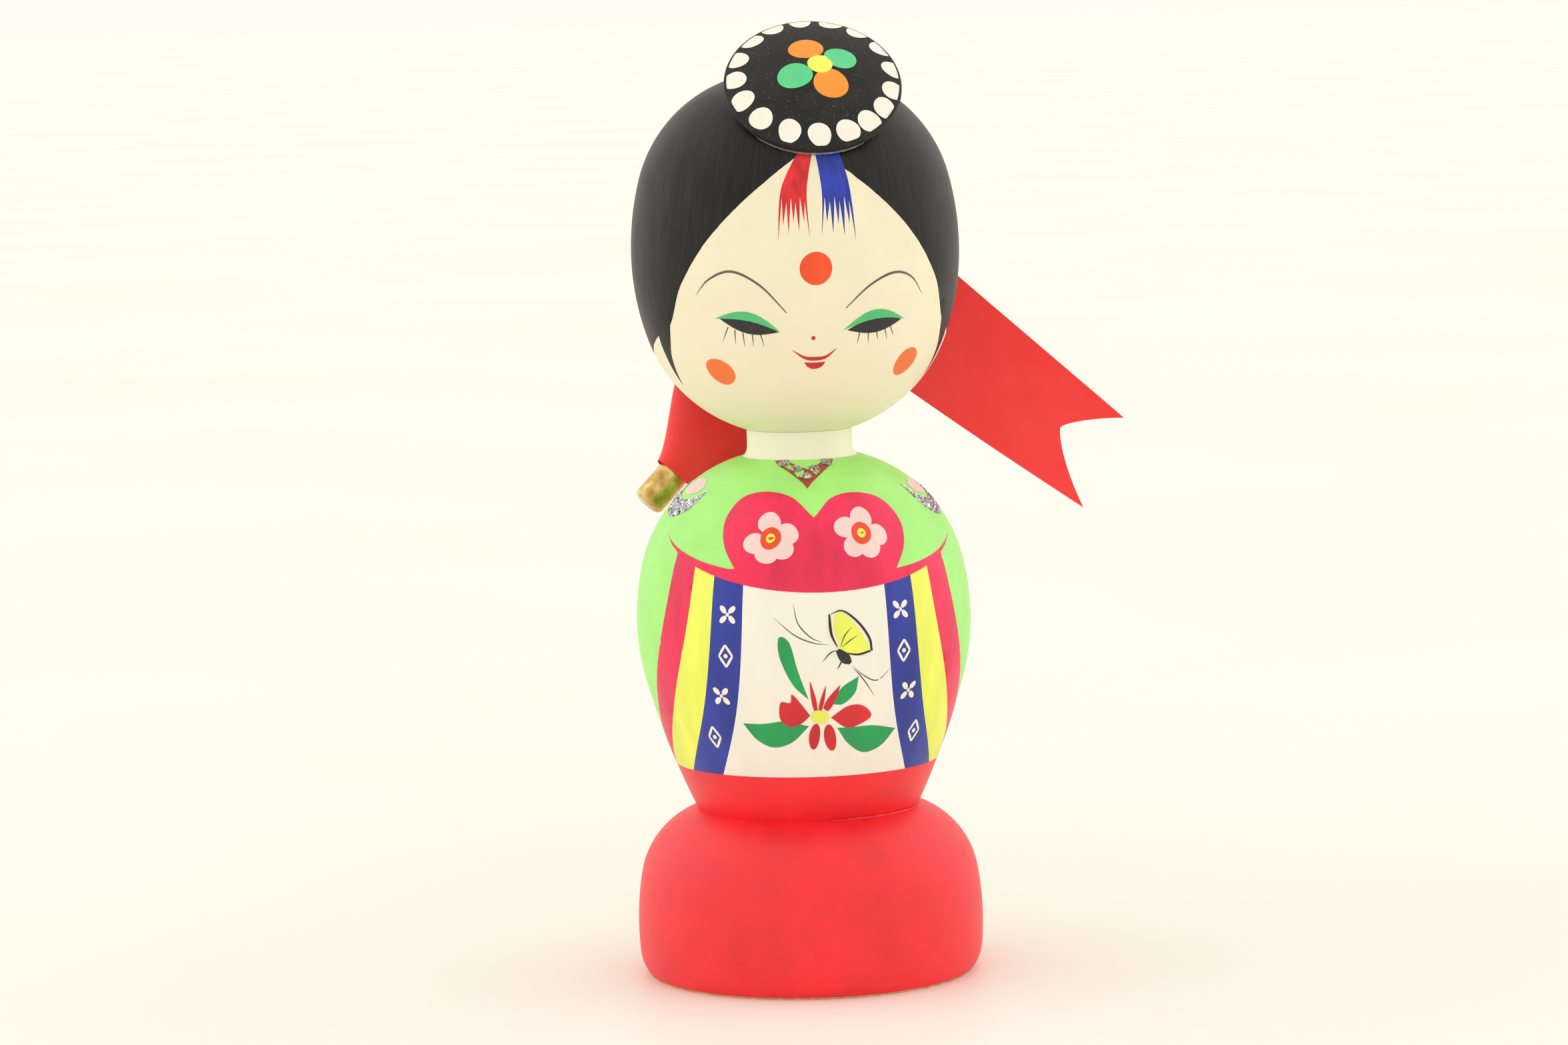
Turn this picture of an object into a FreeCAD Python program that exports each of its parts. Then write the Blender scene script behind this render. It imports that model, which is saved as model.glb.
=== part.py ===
"""A turned wooden doll: foot, egg-shaped body, neck and round head on one upright axis,
a domed button hat, and a swivelling hairpin with two ribbons across the nape.

+Z is up and the doll faces -Y. The origin is the centre of the foot's underside, on the
turning axis. All lengths are in millimetres and all angles in degrees.
"""
import FreeCAD, Part
import math
import os

import Sketcher
from FreeCAD import Placement, Rotation, Vector

DIMENSIONS = {
    # foot: a bowl shape with a rounded bottom edge and a domed shoulder
    "FootRadius": 32.0, "FootWidestHeight": 9.4, "FootSideArc": 54.0, "FootBottomArc": 8.0,
    "FootPrintRadius": 29.9, "FootShoulderArc": 15.5,
    "FootHeight": 31.0, "WaistRadius": 20.5,
    # dowel glued between the foot and the body
    "DowelRadius": 5.0, "DowelDepth": 12.0, "DowelRound": 0.8,
    # body: an egg whose lower half is nearly conical
    "BodyRadius": 30.85, "BodyWidestHeight": 65.7, "BodyLowerSideArc": 40.0, "BodyFlankArc": 150.0,
    "BodyUpperSideArc": 47.3, "BodyShoulderArc": 26.4, "BodyTopRadius": 10.9,
    "BodyHeight": 96.0,
    # neck: a short collar that flares at its foot, with a tenon at each end
    "CollarRadius": 9.7, "CollarTop": 100.95, "FlareArc": 2.4, "FlareHeight": 1.8,
    "TenonRadius": 6.0, "TenonLength": 12.0, "SocketClearance": 0.05, "SocketSpare": 1.5,
    # head: a slightly flattened ball, cut flat where it sits on the collar
    "HeadRadius": 30.1, "HeadWidestHeight": 133.9, "HeadSeat": 101.0, "HeadTop": 166.7,
    "HeadLowerSideArc": 48.2, "HeadLowerCornerArc": 27.4, "HeadSeatRadius": 9.75,
    "HeadUpperSideArc": 51.9, "HeadUpperCornerArc": 25.8, "HeadUpperCrownArc": 49.0,
    # hat: a domed disc, tipped forward over the brow and leaning a little to +X
    "HatRadius": 16.0, "HatEdge": 1.3, "HatCrown": 3.8, "HatRound": 0.45,
    "HatCentreX": 3.9, "HatCentreY": -16.6, "HatCentreZ": 164.2, "HatTilt": 44.7, "HatLean": 4.4,
    "PegRadius": 2.0, "PegInHat": 2.6, "PegInHead": 8.0, "PegRound": 0.4, "GlueGap": 0.05,
    # hairpin: a round-ended dowel, turned about its nail and standing a little askew on it
    "PinRadius": 3.05, "PinLength": 80.3, "PinRound": 1.2,
    "PinX": -2.35, "PinY": 31.0, "PinZ": 113.75, "PinRise": 46.7, "PinSkew": 12.9,
    "NailRadius": 0.8, "NailClearance": 0.05, "NailTipY": 16.5, "NailGrip": 18.25,
    "NailPoint": 1.6, "NailHeadRadius": 1.9, "NailHeadThickness": 0.7,
    # ribbons: satin bands looped over the pin, each with a swallow-tailed end
    "RibbonWidth": 25.0, "RibbonThickness": 0.6, "RibbonSlack": 0.3, "RibbonFromNail": 20.0,
    "RightLongTip": 62.8, "RightLongTipAcross": 15.0, "RightShortTip": 57.8,
    "RightShortTipAcross": 34.2, "RightNotch": 49.6, "RightNotchAcross": 25.4,
    "LeftTail": 51.0, "LeftNotch": 10.0, "LeftTailSet": 9.5, "LeftBendStart": 4.0,
    "LeftBendEnd": 21.0,
}

doc = FreeCAD.newDocument("doll")
sheet = doc.addObject("Spreadsheet::Sheet", "Sizes")
for row, (name, value) in enumerate(DIMENSIONS.items(), start=1):
    sheet.set(f"A{row}", name)
    sheet.set(f"B{row}", str(value))
    sheet.setAlias(f"B{row}", name)
doc.recompute()


def size(name):
    """The sheet's value for one driving dimension."""
    return float(getattr(sheet, name))


# ---------------------------------------------------------------- plane geometry
def circles_meet(centre_a, radius_a, centre_b, radius_b, furthest=max):
    """Where two circles meet: the point furthest out from the axis, or with min the other one."""
    apart = math.dist(centre_a, centre_b)
    along = (radius_a ** 2 - radius_b ** 2 + apart ** 2) / (2 * apart)
    aside = math.sqrt(radius_a ** 2 - along ** 2)
    ux, uy = ((b - a) / apart for a, b in zip(centre_a, centre_b))
    points = [(centre_a[0] + along * ux + side * aside * uy,
               centre_a[1] + along * uy - side * aside * ux) for side in (1, -1)]
    return furthest(points)


def beyond(centre_a, centre_b, distance):
    """The point at a distance from centre_b, on the line from centre_a through it."""
    apart = math.dist(centre_a, centre_b)
    return tuple(b + (b - a) * distance / apart for a, b in zip(centre_a, centre_b))


# ---------------------------------------------------------------- sketches and features
START, END, CENTRE = 1, 2, 3
H_AXIS, V_AXIS = -1, -2


def new_body(label):
    body = doc.addObject("PartDesign::Body", label)
    body.Label = label
    return body


def new_sketch(body, name, role="XZ_Plane"):
    sketch = body.newObject("Sketcher::SketchObject", name)
    plane = next(item for item in body.Origin.OriginFeatures if item.Role == role)
    sketch.AttachmentSupport = (plane, [""])
    sketch.MapMode = "FlatFace"
    return sketch


class Outline:
    """A closed outline of lines and arcs, drawn in order, with its sizes bound to the sheet."""

    def __init__(self, sketch, x, y):
        self.sketch = sketch
        self.here = (x, y)
        self.ends = []

    def _join(self, before, after, kind):
        constraint = Sketcher.Constraint(kind, before, self.ends[before][1], after, self.ends[after][0])
        self.sketch.addConstraint(constraint)

    def _add(self, geometry, x, y, ends, smooth):
        piece = self.sketch.addGeometry(geometry, False)
        self.ends.append(ends)
        if piece > 0:
            self._join(piece - 1, piece, "Tangent" if smooth else "Coincident")
        self.here = (x, y)
        return piece

    def line(self, x, y, smooth=False, free=False):
        """A straight piece; an upright or level one is kept so, unless it is free."""
        before = self.here
        line = Part.LineSegment(Vector(*before, 0), Vector(x, y, 0))
        piece = self._add(line, x, y, (START, END), smooth)
        if free:
            return piece
        if abs(x - before[0]) < 1e-9:
            self.sketch.addConstraint(Sketcher.Constraint("Vertical", piece))
        elif abs(y - before[1]) < 1e-9:
            self.sketch.addConstraint(Sketcher.Constraint("Horizontal", piece))
        return piece

    def arc(self, centre, x, y, radius, smooth=False, clockwise=False):
        """An arc about a centre to (x, y), its radius bound to a cell."""
        before = self.here
        circle = Part.Circle(Vector(*centre, 0), Vector(0, 0, 1), math.dist(centre, (x, y)))
        angles = [math.atan2(py - centre[1], px - centre[0]) for px, py in (before, (x, y))]
        ends = (START, END)
        if clockwise:
            angles.reverse()
            ends = (END, START)
        piece = self._add(Part.ArcOfCircle(circle, *angles), x, y, ends, smooth)
        self._bind(Sketcher.Constraint("Radius", piece, math.dist(centre, (x, y))), radius)
        return piece

    def close(self):
        self._join(len(self.ends) - 1, 0, "Coincident")

    def _bind(self, constraint, expression):
        index = self.sketch.addConstraint(constraint)
        self.sketch.setExpression(f"Constraints[{index}]", expression)

    def tie(self, piece, place, x=None, y=None):
        """Ties a piece's start, end or centre to a distance from the axis or a height.

        Each is an expression, and START and END are meant in the direction of drawing.
        """
        point = CENTRE if place == CENTRE else self.ends[piece][place - START]
        for kind, axis, expression in (("DistanceX", V_AXIS, x), ("DistanceY", H_AXIS, y)):
            if expression == "0":
                self.sketch.addConstraint(Sketcher.Constraint("PointOnObject", piece, point, axis))
            elif expression:
                value = float(self.sketch.evalExpression(expression))
                self._bind(Sketcher.Constraint(kind, piece, point, value), expression)


def turn(body, sketch):
    """A solid of revolution about the sketch's upright axis."""
    feature = body.newObject("PartDesign::Revolution", "Turned")
    feature.Profile = (sketch, [""])
    feature.ReferenceAxis = (sketch, ["V_Axis"])
    feature.Angle = 360.0
    return feature


def bore(body, name, radius, length, placement):
    """A round cut; its radius and length are expressions, and it runs along its placement's +Z."""
    cut = body.newObject("PartDesign::SubtractiveCylinder", name)
    cut.setExpression("Radius", radius)
    cut.setExpression("Height", length)
    cut.Placement = placement
    return cut


# ---------------------------------------------------------------- places shared by several pieces
PIN_TURN = Rotation(Vector(0, 1, 0), -size("PinRise"))
PIN_SKEW = math.radians(size("PinSkew"))
PIN_DIRECTION = PIN_TURN.multVec(Vector(math.cos(PIN_SKEW), math.sin(PIN_SKEW), 0))
TAIL_DIRECTION = PIN_TURN.multVec(Vector(0, 0, -1))
PIN_CENTRE = Vector(size("PinX"), size("PinY"), size("PinZ"))
# along the pin is +Z, the way the ribbons' tails point is +X, and away from the head is +Y
PIN_PLACE = Placement(PIN_CENTRE, Rotation(TAIL_DIRECTION, Vector(), PIN_DIRECTION, "ZXY"))
NAIL_TURN = Rotation(Vector(1, 0, 0), -90)
NAIL_PLACE = Placement(Vector(size("PinX"), size("NailTipY"), size("PinZ")), NAIL_TURN)
HAT_TURN = Rotation(Vector(0, 1, 0), size("HatLean")) * Rotation(Vector(1, 0, 0), size("HatTilt"))
HAT_NORMAL = HAT_TURN.multVec(Vector(0, 0, 1))
HAT_CENTRE = Vector(size("HatCentreX"), size("HatCentreY"), size("HatCentreZ"))
HAT_BACK = HAT_CENTRE - HAT_NORMAL * size("HatEdge")


# ---------------------------------------------------------------- foot
def make_base():
    """The bowl-shaped foot, with a blind hole in its top for the dowel."""
    side_arc, bottom_arc = size("FootSideArc"), size("FootBottomArc")
    shoulder_arc = size("FootShoulderArc")
    foot_print = (size("FootPrintRadius"), 0.0)
    waist = (size("WaistRadius"), size("FootHeight"))
    hole_floor = size("FootHeight") - size("DowelDepth")
    side = (size("FootRadius") - side_arc, size("FootWidestHeight"))
    bottom = circles_meet(side, side_arc - bottom_arc, foot_print, bottom_arc)
    shoulder = circles_meet(side, side_arc - shoulder_arc, waist, shoulder_arc)

    body = new_body("base")
    sketch = new_sketch(body, "FootProfile")
    outline = Outline(sketch, 0.0, 0.0)
    under = outline.line(*foot_print)
    outline.arc(bottom, *beyond(side, bottom, bottom_arc), "Sizes.FootBottomArc")
    wall = outline.arc(side, *beyond(side, shoulder, shoulder_arc), "Sizes.FootSideArc", smooth=True)
    dome = outline.arc(shoulder, *waist, "Sizes.FootShoulderArc", smooth=True)
    seat = outline.line(size("DowelRadius"), waist[1])
    hole = outline.line(size("DowelRadius"), hole_floor)
    bottom_of_hole = outline.line(0.0, hole_floor)
    outline.line(0.0, 0.0)
    outline.close()
    outline.tie(under, END, x="Sizes.FootPrintRadius", y="0")
    outline.tie(wall, CENTRE, x="Sizes.FootRadius - Sizes.FootSideArc", y="Sizes.FootWidestHeight")
    outline.tie(dome, END, x="Sizes.WaistRadius", y="Sizes.FootHeight")
    outline.tie(seat, END, x="Sizes.DowelRadius")
    outline.tie(hole, END, y="Sizes.FootHeight - Sizes.DowelDepth")
    outline.tie(bottom_of_hole, END, x="0")
    turn(body, sketch)
    return body


def make_dowel(label, radius, length, rounding, placement):
    """A plain dowel with rounded ends, centred on its own origin and lying along its +Z."""
    body = new_body(label)
    sketch = new_sketch(body, "DowelSection", role="XY_Plane")
    circle = Part.Circle(Vector(0, 0, 0), Vector(0, 0, 1), float(sketch.evalExpression(radius)))
    ring = sketch.addGeometry(circle, False)
    sketch.addConstraint(Sketcher.Constraint("Coincident", ring, CENTRE, H_AXIS, START))
    index = sketch.addConstraint(Sketcher.Constraint("Radius", ring, circle.Radius))
    sketch.setExpression(f"Constraints[{index}]", radius)
    stick = body.newObject("PartDesign::Pad", "Stick")
    stick.Profile = (sketch, [""])
    stick.Midplane = True
    stick.setExpression("Length", length)
    doc.recompute()
    ends = body.newObject("PartDesign::Fillet", "RoundedEnds")
    rims = [f"Edge{number}" for number, edge in enumerate(stick.Shape.Edges, start=1)
            if isinstance(edge.Curve, Part.Circle)]
    ends.Base = (stick, rims)
    ends.setExpression("Radius", rounding)
    body.Placement = placement
    return body


# ---------------------------------------------------------------- body
def make_body():
    """The egg-shaped body, with a blind hole below for the dowel and one above for the neck."""
    lower_arc, flank_arc = size("BodyLowerSideArc"), size("BodyFlankArc")
    upper_arc, shoulder_arc = size("BodyUpperSideArc"), size("BodyShoulderArc")
    widest = (size("BodyRadius"), size("BodyWidestHeight"))
    waist = (size("WaistRadius"), size("FootHeight"))
    lower_side = (widest[0] - lower_arc, widest[1])
    upper_side = (widest[0] - upper_arc, widest[1])
    flank = circles_meet(lower_side, flank_arc - lower_arc, waist, flank_arc, furthest=min)
    top = size("BodyHeight")
    top_rim = (size("BodyTopRadius"), top)
    shoulder = circles_meet(upper_side, upper_arc - shoulder_arc, top_rim, shoulder_arc)
    dowel_roof = waist[1] + size("DowelDepth")
    tenon_floor = top - size("TenonLength") - size("SocketSpare")

    body = new_body("body")
    sketch = new_sketch(body, "BodyProfile")
    outline = Outline(sketch, size("DowelRadius"), waist[1])
    seat = outline.line(*waist)
    outline.arc(flank, *beyond(flank, lower_side, lower_arc), "Sizes.BodyFlankArc")
    below = outline.arc(lower_side, *widest, "Sizes.BodyLowerSideArc", smooth=True)
    above = outline.arc(upper_side, *beyond(upper_side, shoulder, shoulder_arc), "Sizes.BodyUpperSideArc")
    dome = outline.arc(shoulder, *top_rim, "Sizes.BodyShoulderArc", smooth=True)
    top_face = outline.line(size("TenonRadius"), top)
    tenon_hole = outline.line(size("TenonRadius"), tenon_floor)
    floor_of_tenon_hole = outline.line(0.0, tenon_floor)
    core = outline.line(0.0, dowel_roof)
    outline.line(size("DowelRadius"), dowel_roof)
    outline.line(size("DowelRadius"), waist[1])
    outline.close()
    outline.tie(seat, END, x="Sizes.WaistRadius", y="Sizes.FootHeight")
    outline.tie(below, CENTRE, y="Sizes.BodyWidestHeight")
    outline.tie(below, END, x="Sizes.BodyRadius", y="Sizes.BodyWidestHeight")
    outline.tie(above, CENTRE, y="Sizes.BodyWidestHeight")
    outline.tie(dome, END, x="Sizes.BodyTopRadius", y="Sizes.BodyHeight")
    outline.tie(top_face, END, x="Sizes.TenonRadius + Sizes.GlueGap")
    outline.tie(tenon_hole, END, y="Sizes.BodyHeight - Sizes.TenonLength - Sizes.SocketSpare")
    outline.tie(floor_of_tenon_hole, END, x="0")
    outline.tie(core, END, y="Sizes.FootHeight + Sizes.DowelDepth")
    outline.tie(seat, START, x="Sizes.DowelRadius")
    turn(body, sketch)
    return body


# ---------------------------------------------------------------- neck
def make_neck():
    """A collar that flares where it meets the body, with a tenon below and one above."""
    tenon, collar = size("TenonRadius"), size("CollarRadius")
    foot, collar_top = size("BodyHeight"), size("CollarTop")
    flare = (collar + size("FlareArc"), foot + size("FlareHeight"))
    flare_foot = flare[0] - math.sqrt(size("FlareArc") ** 2 - size("FlareHeight") ** 2)
    lowest, highest = foot - size("TenonLength"), collar_top + size("TenonLength")

    body = new_body("neck")
    sketch = new_sketch(body, "NeckProfile")
    outline = Outline(sketch, 0.0, lowest)
    lower_end = outline.line(tenon, lowest)
    lower_tenon = outline.line(tenon, foot)
    outline.line(flare_foot, foot)
    flared = outline.arc(flare, collar, flare[1], "Sizes.FlareArc", clockwise=True)
    side = outline.line(collar, collar_top)
    top_face = outline.line(tenon, collar_top)
    upper_tenon = outline.line(tenon, highest)
    upper_end = outline.line(0.0, highest)
    outline.line(0.0, lowest)
    outline.close()
    outline.tie(lower_end, END, x="Sizes.TenonRadius", y="Sizes.BodyHeight - Sizes.TenonLength")
    outline.tie(lower_tenon, END, y="Sizes.BodyHeight")
    outline.tie(flared, END, x="Sizes.CollarRadius", y="Sizes.BodyHeight + Sizes.FlareHeight")
    outline.tie(flared, CENTRE, y="Sizes.BodyHeight + Sizes.FlareHeight")
    outline.tie(side, END, y="Sizes.CollarTop")
    outline.tie(top_face, END, x="Sizes.TenonRadius")
    outline.tie(upper_tenon, END, y="Sizes.CollarTop + Sizes.TenonLength")
    outline.tie(upper_end, END, x="0")
    turn(body, sketch)
    return body


# ---------------------------------------------------------------- head
def make_head():
    """The round head: a socket below, a flat under the hat, and holes for its peg and for the nail."""
    low_side_arc, low_corner_arc = size("HeadLowerSideArc"), size("HeadLowerCornerArc")
    high_side_arc, high_corner_arc = size("HeadUpperSideArc"), size("HeadUpperCornerArc")
    high_crown_arc = size("HeadUpperCrownArc")
    widest = (size("HeadRadius"), size("HeadWidestHeight"))
    seat, top = size("HeadSeat"), size("HeadTop")
    socket = size("TenonRadius") + size("SocketClearance")
    roof = seat + size("TenonLength") + size("SocketSpare")
    low_side = (widest[0] - low_side_arc, widest[1])
    high_side = (widest[0] - high_side_arc, widest[1])
    high_crown = (0.0, top - high_crown_arc)
    seat_rim = (size("HeadSeatRadius"), seat)
    low_corner = circles_meet(low_side, low_side_arc - low_corner_arc, seat_rim, low_corner_arc)
    high_corner = circles_meet(high_side, high_side_arc - high_corner_arc,
                               high_crown, high_crown_arc - high_corner_arc)

    body = new_body("head")
    sketch = new_sketch(body, "HeadProfile")
    outline = Outline(sketch, socket, seat)
    under = outline.line(*seat_rim)
    outline.arc(low_corner, *beyond(low_side, low_corner, low_corner_arc), "Sizes.HeadLowerCornerArc")
    below = outline.arc(low_side, *widest, "Sizes.HeadLowerSideArc", smooth=True)
    above = outline.arc(high_side, *beyond(high_side, high_corner, high_corner_arc),
                        "Sizes.HeadUpperSideArc")
    outline.arc(high_corner, *beyond(high_crown, high_corner, high_corner_arc),
                "Sizes.HeadUpperCornerArc", smooth=True)
    crown = outline.arc(high_crown, 0.0, top, "Sizes.HeadUpperCrownArc", smooth=True)
    core = outline.line(0.0, roof)
    outline.line(socket, roof)
    outline.line(socket, seat)
    outline.close()
    outline.tie(under, START, x="Sizes.TenonRadius + Sizes.SocketClearance")
    outline.tie(under, END, x="Sizes.HeadSeatRadius", y="Sizes.HeadSeat")
    outline.tie(below, CENTRE, y="Sizes.HeadWidestHeight")
    outline.tie(below, END, x="Sizes.HeadRadius", y="Sizes.HeadWidestHeight")
    outline.tie(above, CENTRE, y="Sizes.HeadWidestHeight")
    outline.tie(crown, CENTRE, x="0")
    outline.tie(crown, END, x="0", y="Sizes.HeadTop")
    outline.tie(core, END, y="Sizes.HeadSeat + Sizes.TenonLength + Sizes.SocketSpare")
    turn(body, sketch)

    seat_centre = HAT_BACK - HAT_NORMAL * size("GlueGap")
    bore(body, "HatSeat", "Sizes.HatRadius", "Sizes.HatRadius", Placement(seat_centre, HAT_TURN))
    peg_end = HAT_BACK - HAT_NORMAL * size("PegInHead")
    bore(body, "PegHole", "Sizes.PegRadius + Sizes.GlueGap", "Sizes.HatRadius", Placement(peg_end, HAT_TURN))
    bore(body, "NailHole", "Sizes.NailRadius", "Sizes.PinY", NAIL_PLACE)
    return body


# ---------------------------------------------------------------- hat
def make_hat():
    """A domed disc with rounded edges, its flat back at z = 0 and a blind hole for the peg."""
    radius, rounding, edge = size("HatRadius"), size("HatRound"), size("HatEdge")
    crown = size("HatCrown")
    peg, depth = size("PegRadius"), size("PegInHat")
    crown_arc = (radius ** 2 + crown ** 2) / (2 * crown)
    dome = (0.0, edge + crown - crown_arc)
    brim_x = radius - rounding
    brim = (brim_x, dome[1] + math.sqrt((crown_arc - rounding) ** 2 - brim_x ** 2))

    body = new_body("hat")
    sketch = new_sketch(body, "HatProfile")
    outline = Outline(sketch, peg, 0.0)
    back = outline.line(radius - rounding, 0.0)
    back_round = outline.arc((radius - rounding, rounding), radius, rounding, "Sizes.HatRound", smooth=True)
    outline.line(radius, brim[1])
    outline.arc(brim, *beyond(dome, brim, rounding), "Sizes.HatRound", smooth=True)
    top = outline.arc(dome, 0.0, edge + crown,
                      "(Sizes.HatRadius ^ 2 + Sizes.HatCrown ^ 2) / (2 * Sizes.HatCrown)", smooth=True)
    core = outline.line(0.0, depth)
    outline.line(peg, depth)
    outline.line(peg, 0.0)
    outline.close()
    outline.tie(back, END, y="0")
    outline.tie(back, START, x="Sizes.PegRadius")
    outline.tie(back_round, END, x="Sizes.HatRadius")
    outline.tie(top, CENTRE, x="0")
    outline.tie(top, END, x="0", y="Sizes.HatEdge + Sizes.HatCrown")
    outline.tie(core, END, y="Sizes.PegInHat")
    turn(body, sketch)
    body.Placement = Placement(HAT_BACK, HAT_TURN)
    return body


# ---------------------------------------------------------------- hairpin and its nail
def make_hairpin():
    """The gold dowel, with a running hole through its middle for the nail."""
    body = make_dowel("hairpin", "Sizes.PinRadius", "Sizes.PinLength", "Sizes.PinRound", PIN_PLACE)
    nail_in_pin = PIN_PLACE.inverse().multiply(NAIL_PLACE)
    bore(body, "NailHole", "Sizes.NailRadius + Sizes.NailClearance", "2 * Sizes.PinY", nail_in_pin)
    return body


def make_nail():
    """A pointed nail with a flat round head, its point at its own origin."""
    shank, head = size("NailRadius"), size("NailHeadRadius")
    point, grip = size("NailPoint"), size("NailGrip")
    length = grip + size("NailHeadThickness")
    body = new_body("hairpin_nail")
    sketch = new_sketch(body, "NailProfile")
    outline = Outline(sketch, 0.0, 0.0)
    cone = outline.line(shank, point)
    side = outline.line(shank, grip)
    under_head = outline.line(head, grip)
    rim = outline.line(head, length)
    top = outline.line(0.0, length)
    outline.line(0.0, 0.0)
    outline.close()
    outline.tie(cone, START, y="0")
    outline.tie(cone, END, x="Sizes.NailRadius", y="Sizes.NailPoint")
    outline.tie(side, END, y="Sizes.NailGrip")
    outline.tie(under_head, END, x="Sizes.NailHeadRadius")
    outline.tie(rim, END, y="Sizes.NailGrip + Sizes.NailHeadThickness")
    outline.tie(top, END, x="0")
    turn(body, sketch)
    body.Placement = NAIL_PLACE
    return body


# ---------------------------------------------------------------- ribbons
LOOP = "Sizes.PinRadius + Sizes.RibbonSlack"


def straight_outline(sketch, corners):
    """A closed polygon; each corner is a pair of expressions."""
    points = [tuple(float(sketch.evalExpression(each)) for each in corner) for corner in corners]
    outline = Outline(sketch, *points[-1])
    for corner, point in zip(corners, points):
        piece = outline.line(*point, free=True)
        outline.tie(piece, END, *corner)
    outline.close()


def pad_both_ways(body, sketch, name, thickness):
    pad = body.newObject("PartDesign::Pad", name)
    pad.Profile = (sketch, [""])
    pad.Midplane = True
    pad.setExpression("Length", thickness)
    return pad


def add_loop(body, start):
    """The ribbon's round turn about the pin, from a place along the pin."""
    band = body.newObject("PartDesign::AdditiveCylinder", "Loop")
    band.setExpression("Radius", f"{LOOP} + Sizes.RibbonThickness")
    band.setExpression("Height", "Sizes.RibbonWidth")
    band.Placement = Placement(Vector(0, 0, start), Rotation())
    bore(body, "RoundThePin", LOOP, "Sizes.RibbonWidth", Placement(Vector(0, 0, start), Rotation()))


def make_ribbon_right():
    """A flat tail that narrows to a swallow-tailed end, square to the pin's upper half."""
    body = new_body("ribbon_right")
    sketch = new_sketch(body, "TailShape")
    inner = f"{LOOP} + Sizes.RibbonThickness / 2"
    low, high = (f"Sizes.RibbonFromNail {sign} Sizes.RibbonWidth / 2" for sign in "-+")
    straight_outline(sketch, [
        (inner, low),
        ("Sizes.RightLongTip", "Sizes.RightLongTipAcross"),
        ("Sizes.RightNotch", "Sizes.RightNotchAcross"),
        ("Sizes.RightShortTip", "Sizes.RightShortTipAcross"),
        (inner, high),
    ])
    pad_both_ways(body, sketch, "Tail", "Sizes.RibbonThickness")
    add_loop(body, size("RibbonFromNail") - size("RibbonWidth") / 2)
    body.Placement = PIN_PLACE
    return body


def make_ribbon_left():
    """A tail that leaves the front of the pin's lower half and bends back to clear the body."""
    body = new_body("ribbon_left")
    middle = -size("RibbonFromNail")
    sketch = new_sketch(body, "TailPath", role="XY_Plane")
    sketch.AttachmentOffset = Placement(Vector(0, 0, middle), Rotation())
    front, back = f"-({LOOP}) - Sizes.RibbonThickness", f"-({LOOP})"
    far = "Sizes.LeftTailSet + Sizes.RibbonThickness"
    straight_outline(sketch, [
        ("Sizes.LeftBendStart", front),
        ("Sizes.LeftBendEnd", "Sizes.LeftTailSet"),
        ("Sizes.LeftTail", "Sizes.LeftTailSet"),
        ("Sizes.LeftTail", far),
        ("Sizes.LeftBendEnd - Sizes.RibbonThickness / 2", far),
        ("Sizes.LeftBendStart - Sizes.RibbonThickness / 2", back),
        ("0", back),
        ("0", front),
    ])
    pad_both_ways(body, sketch, "Tail", "Sizes.RibbonWidth")
    add_loop(body, middle - size("RibbonWidth") / 2)
    notch = new_sketch(body, "NotchShape")
    straight_outline(notch, [
        ("Sizes.LeftTail - Sizes.LeftNotch", "-Sizes.RibbonFromNail"),
        ("Sizes.LeftTail + 1", "-Sizes.RibbonFromNail - Sizes.RibbonWidth * 0.55"),
        ("Sizes.LeftTail + 1", "-Sizes.RibbonFromNail + Sizes.RibbonWidth * 0.55"),
    ])
    cut = body.newObject("PartDesign::Pocket", "SwallowTail")
    cut.Profile = (notch, [""])
    cut.Midplane = True
    cut.setExpression("Length", "4 * Sizes.LeftTailSet")
    body.Placement = PIN_PLACE
    return body


# ---------------------------------------------------------------- assembly
DOWEL_PLACE = Placement(Vector(0, 0, size("FootHeight")), Rotation())
PEG_MIDDLE = (size("PegInHat") - size("PegInHead") - size("GlueGap")) / 2
PEG_PLACE = Placement(HAT_BACK + HAT_NORMAL * PEG_MIDDLE, HAT_TURN)

pieces = [
    make_base(),
    make_dowel("base_dowel", "Sizes.DowelRadius - Sizes.GlueGap",
               "2 * Sizes.DowelDepth - 4 * Sizes.GlueGap", "Sizes.DowelRound", DOWEL_PLACE),
    make_body(),
    make_neck(),
    make_head(),
    make_hat(),
    make_dowel("hat_peg", "Sizes.PegRadius - Sizes.GlueGap",
               "Sizes.PegInHat + Sizes.PegInHead - 4 * Sizes.GlueGap", "Sizes.PegRound", PEG_PLACE),
    make_hairpin(),
    make_nail(),
    make_ribbon_left(),
    make_ribbon_right(),
]
doc.recompute()

for item in doc.Objects:
    if {"Invalid", "Error"} & set(item.State):
        raise RuntimeError(f"{item.Name} did not compute: {item.State}")
for piece in pieces:
    if piece.Shape.isNull() or not piece.Shape.isValid() or len(piece.Shape.Solids) != 1:
        raise RuntimeError(f"{piece.Label} is not one valid solid")

os.makedirs("parts", exist_ok=True)
for piece in pieces:
    piece.Shape.exportStep(f"parts/{piece.Label}.step")
    print(f"{piece.Label}: {piece.Shape.Volume / 1000:.2f} cm3")
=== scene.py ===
"""A painted wooden doll in bridal dress, on a plain pale floor in soft studio light.

The turned pieces are the frame's own nodes with painted materials. Everything brushed on them is a thin
layer of paint that follows their surface, placed by azimuth and height: azimuth 0 faces -Y and grows
towards +X. The ribbons, glitter and glue are pieces of their own. Lengths are in millimetres and angles
in degrees, unless a comment says otherwise.
"""
import math
import random

import bmesh
import bpy
from mathutils import Euler, Matrix, Vector
from mathutils.bvhtree import BVHTree
from mathutils.geometry import delaunay_2d_cdt


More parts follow.
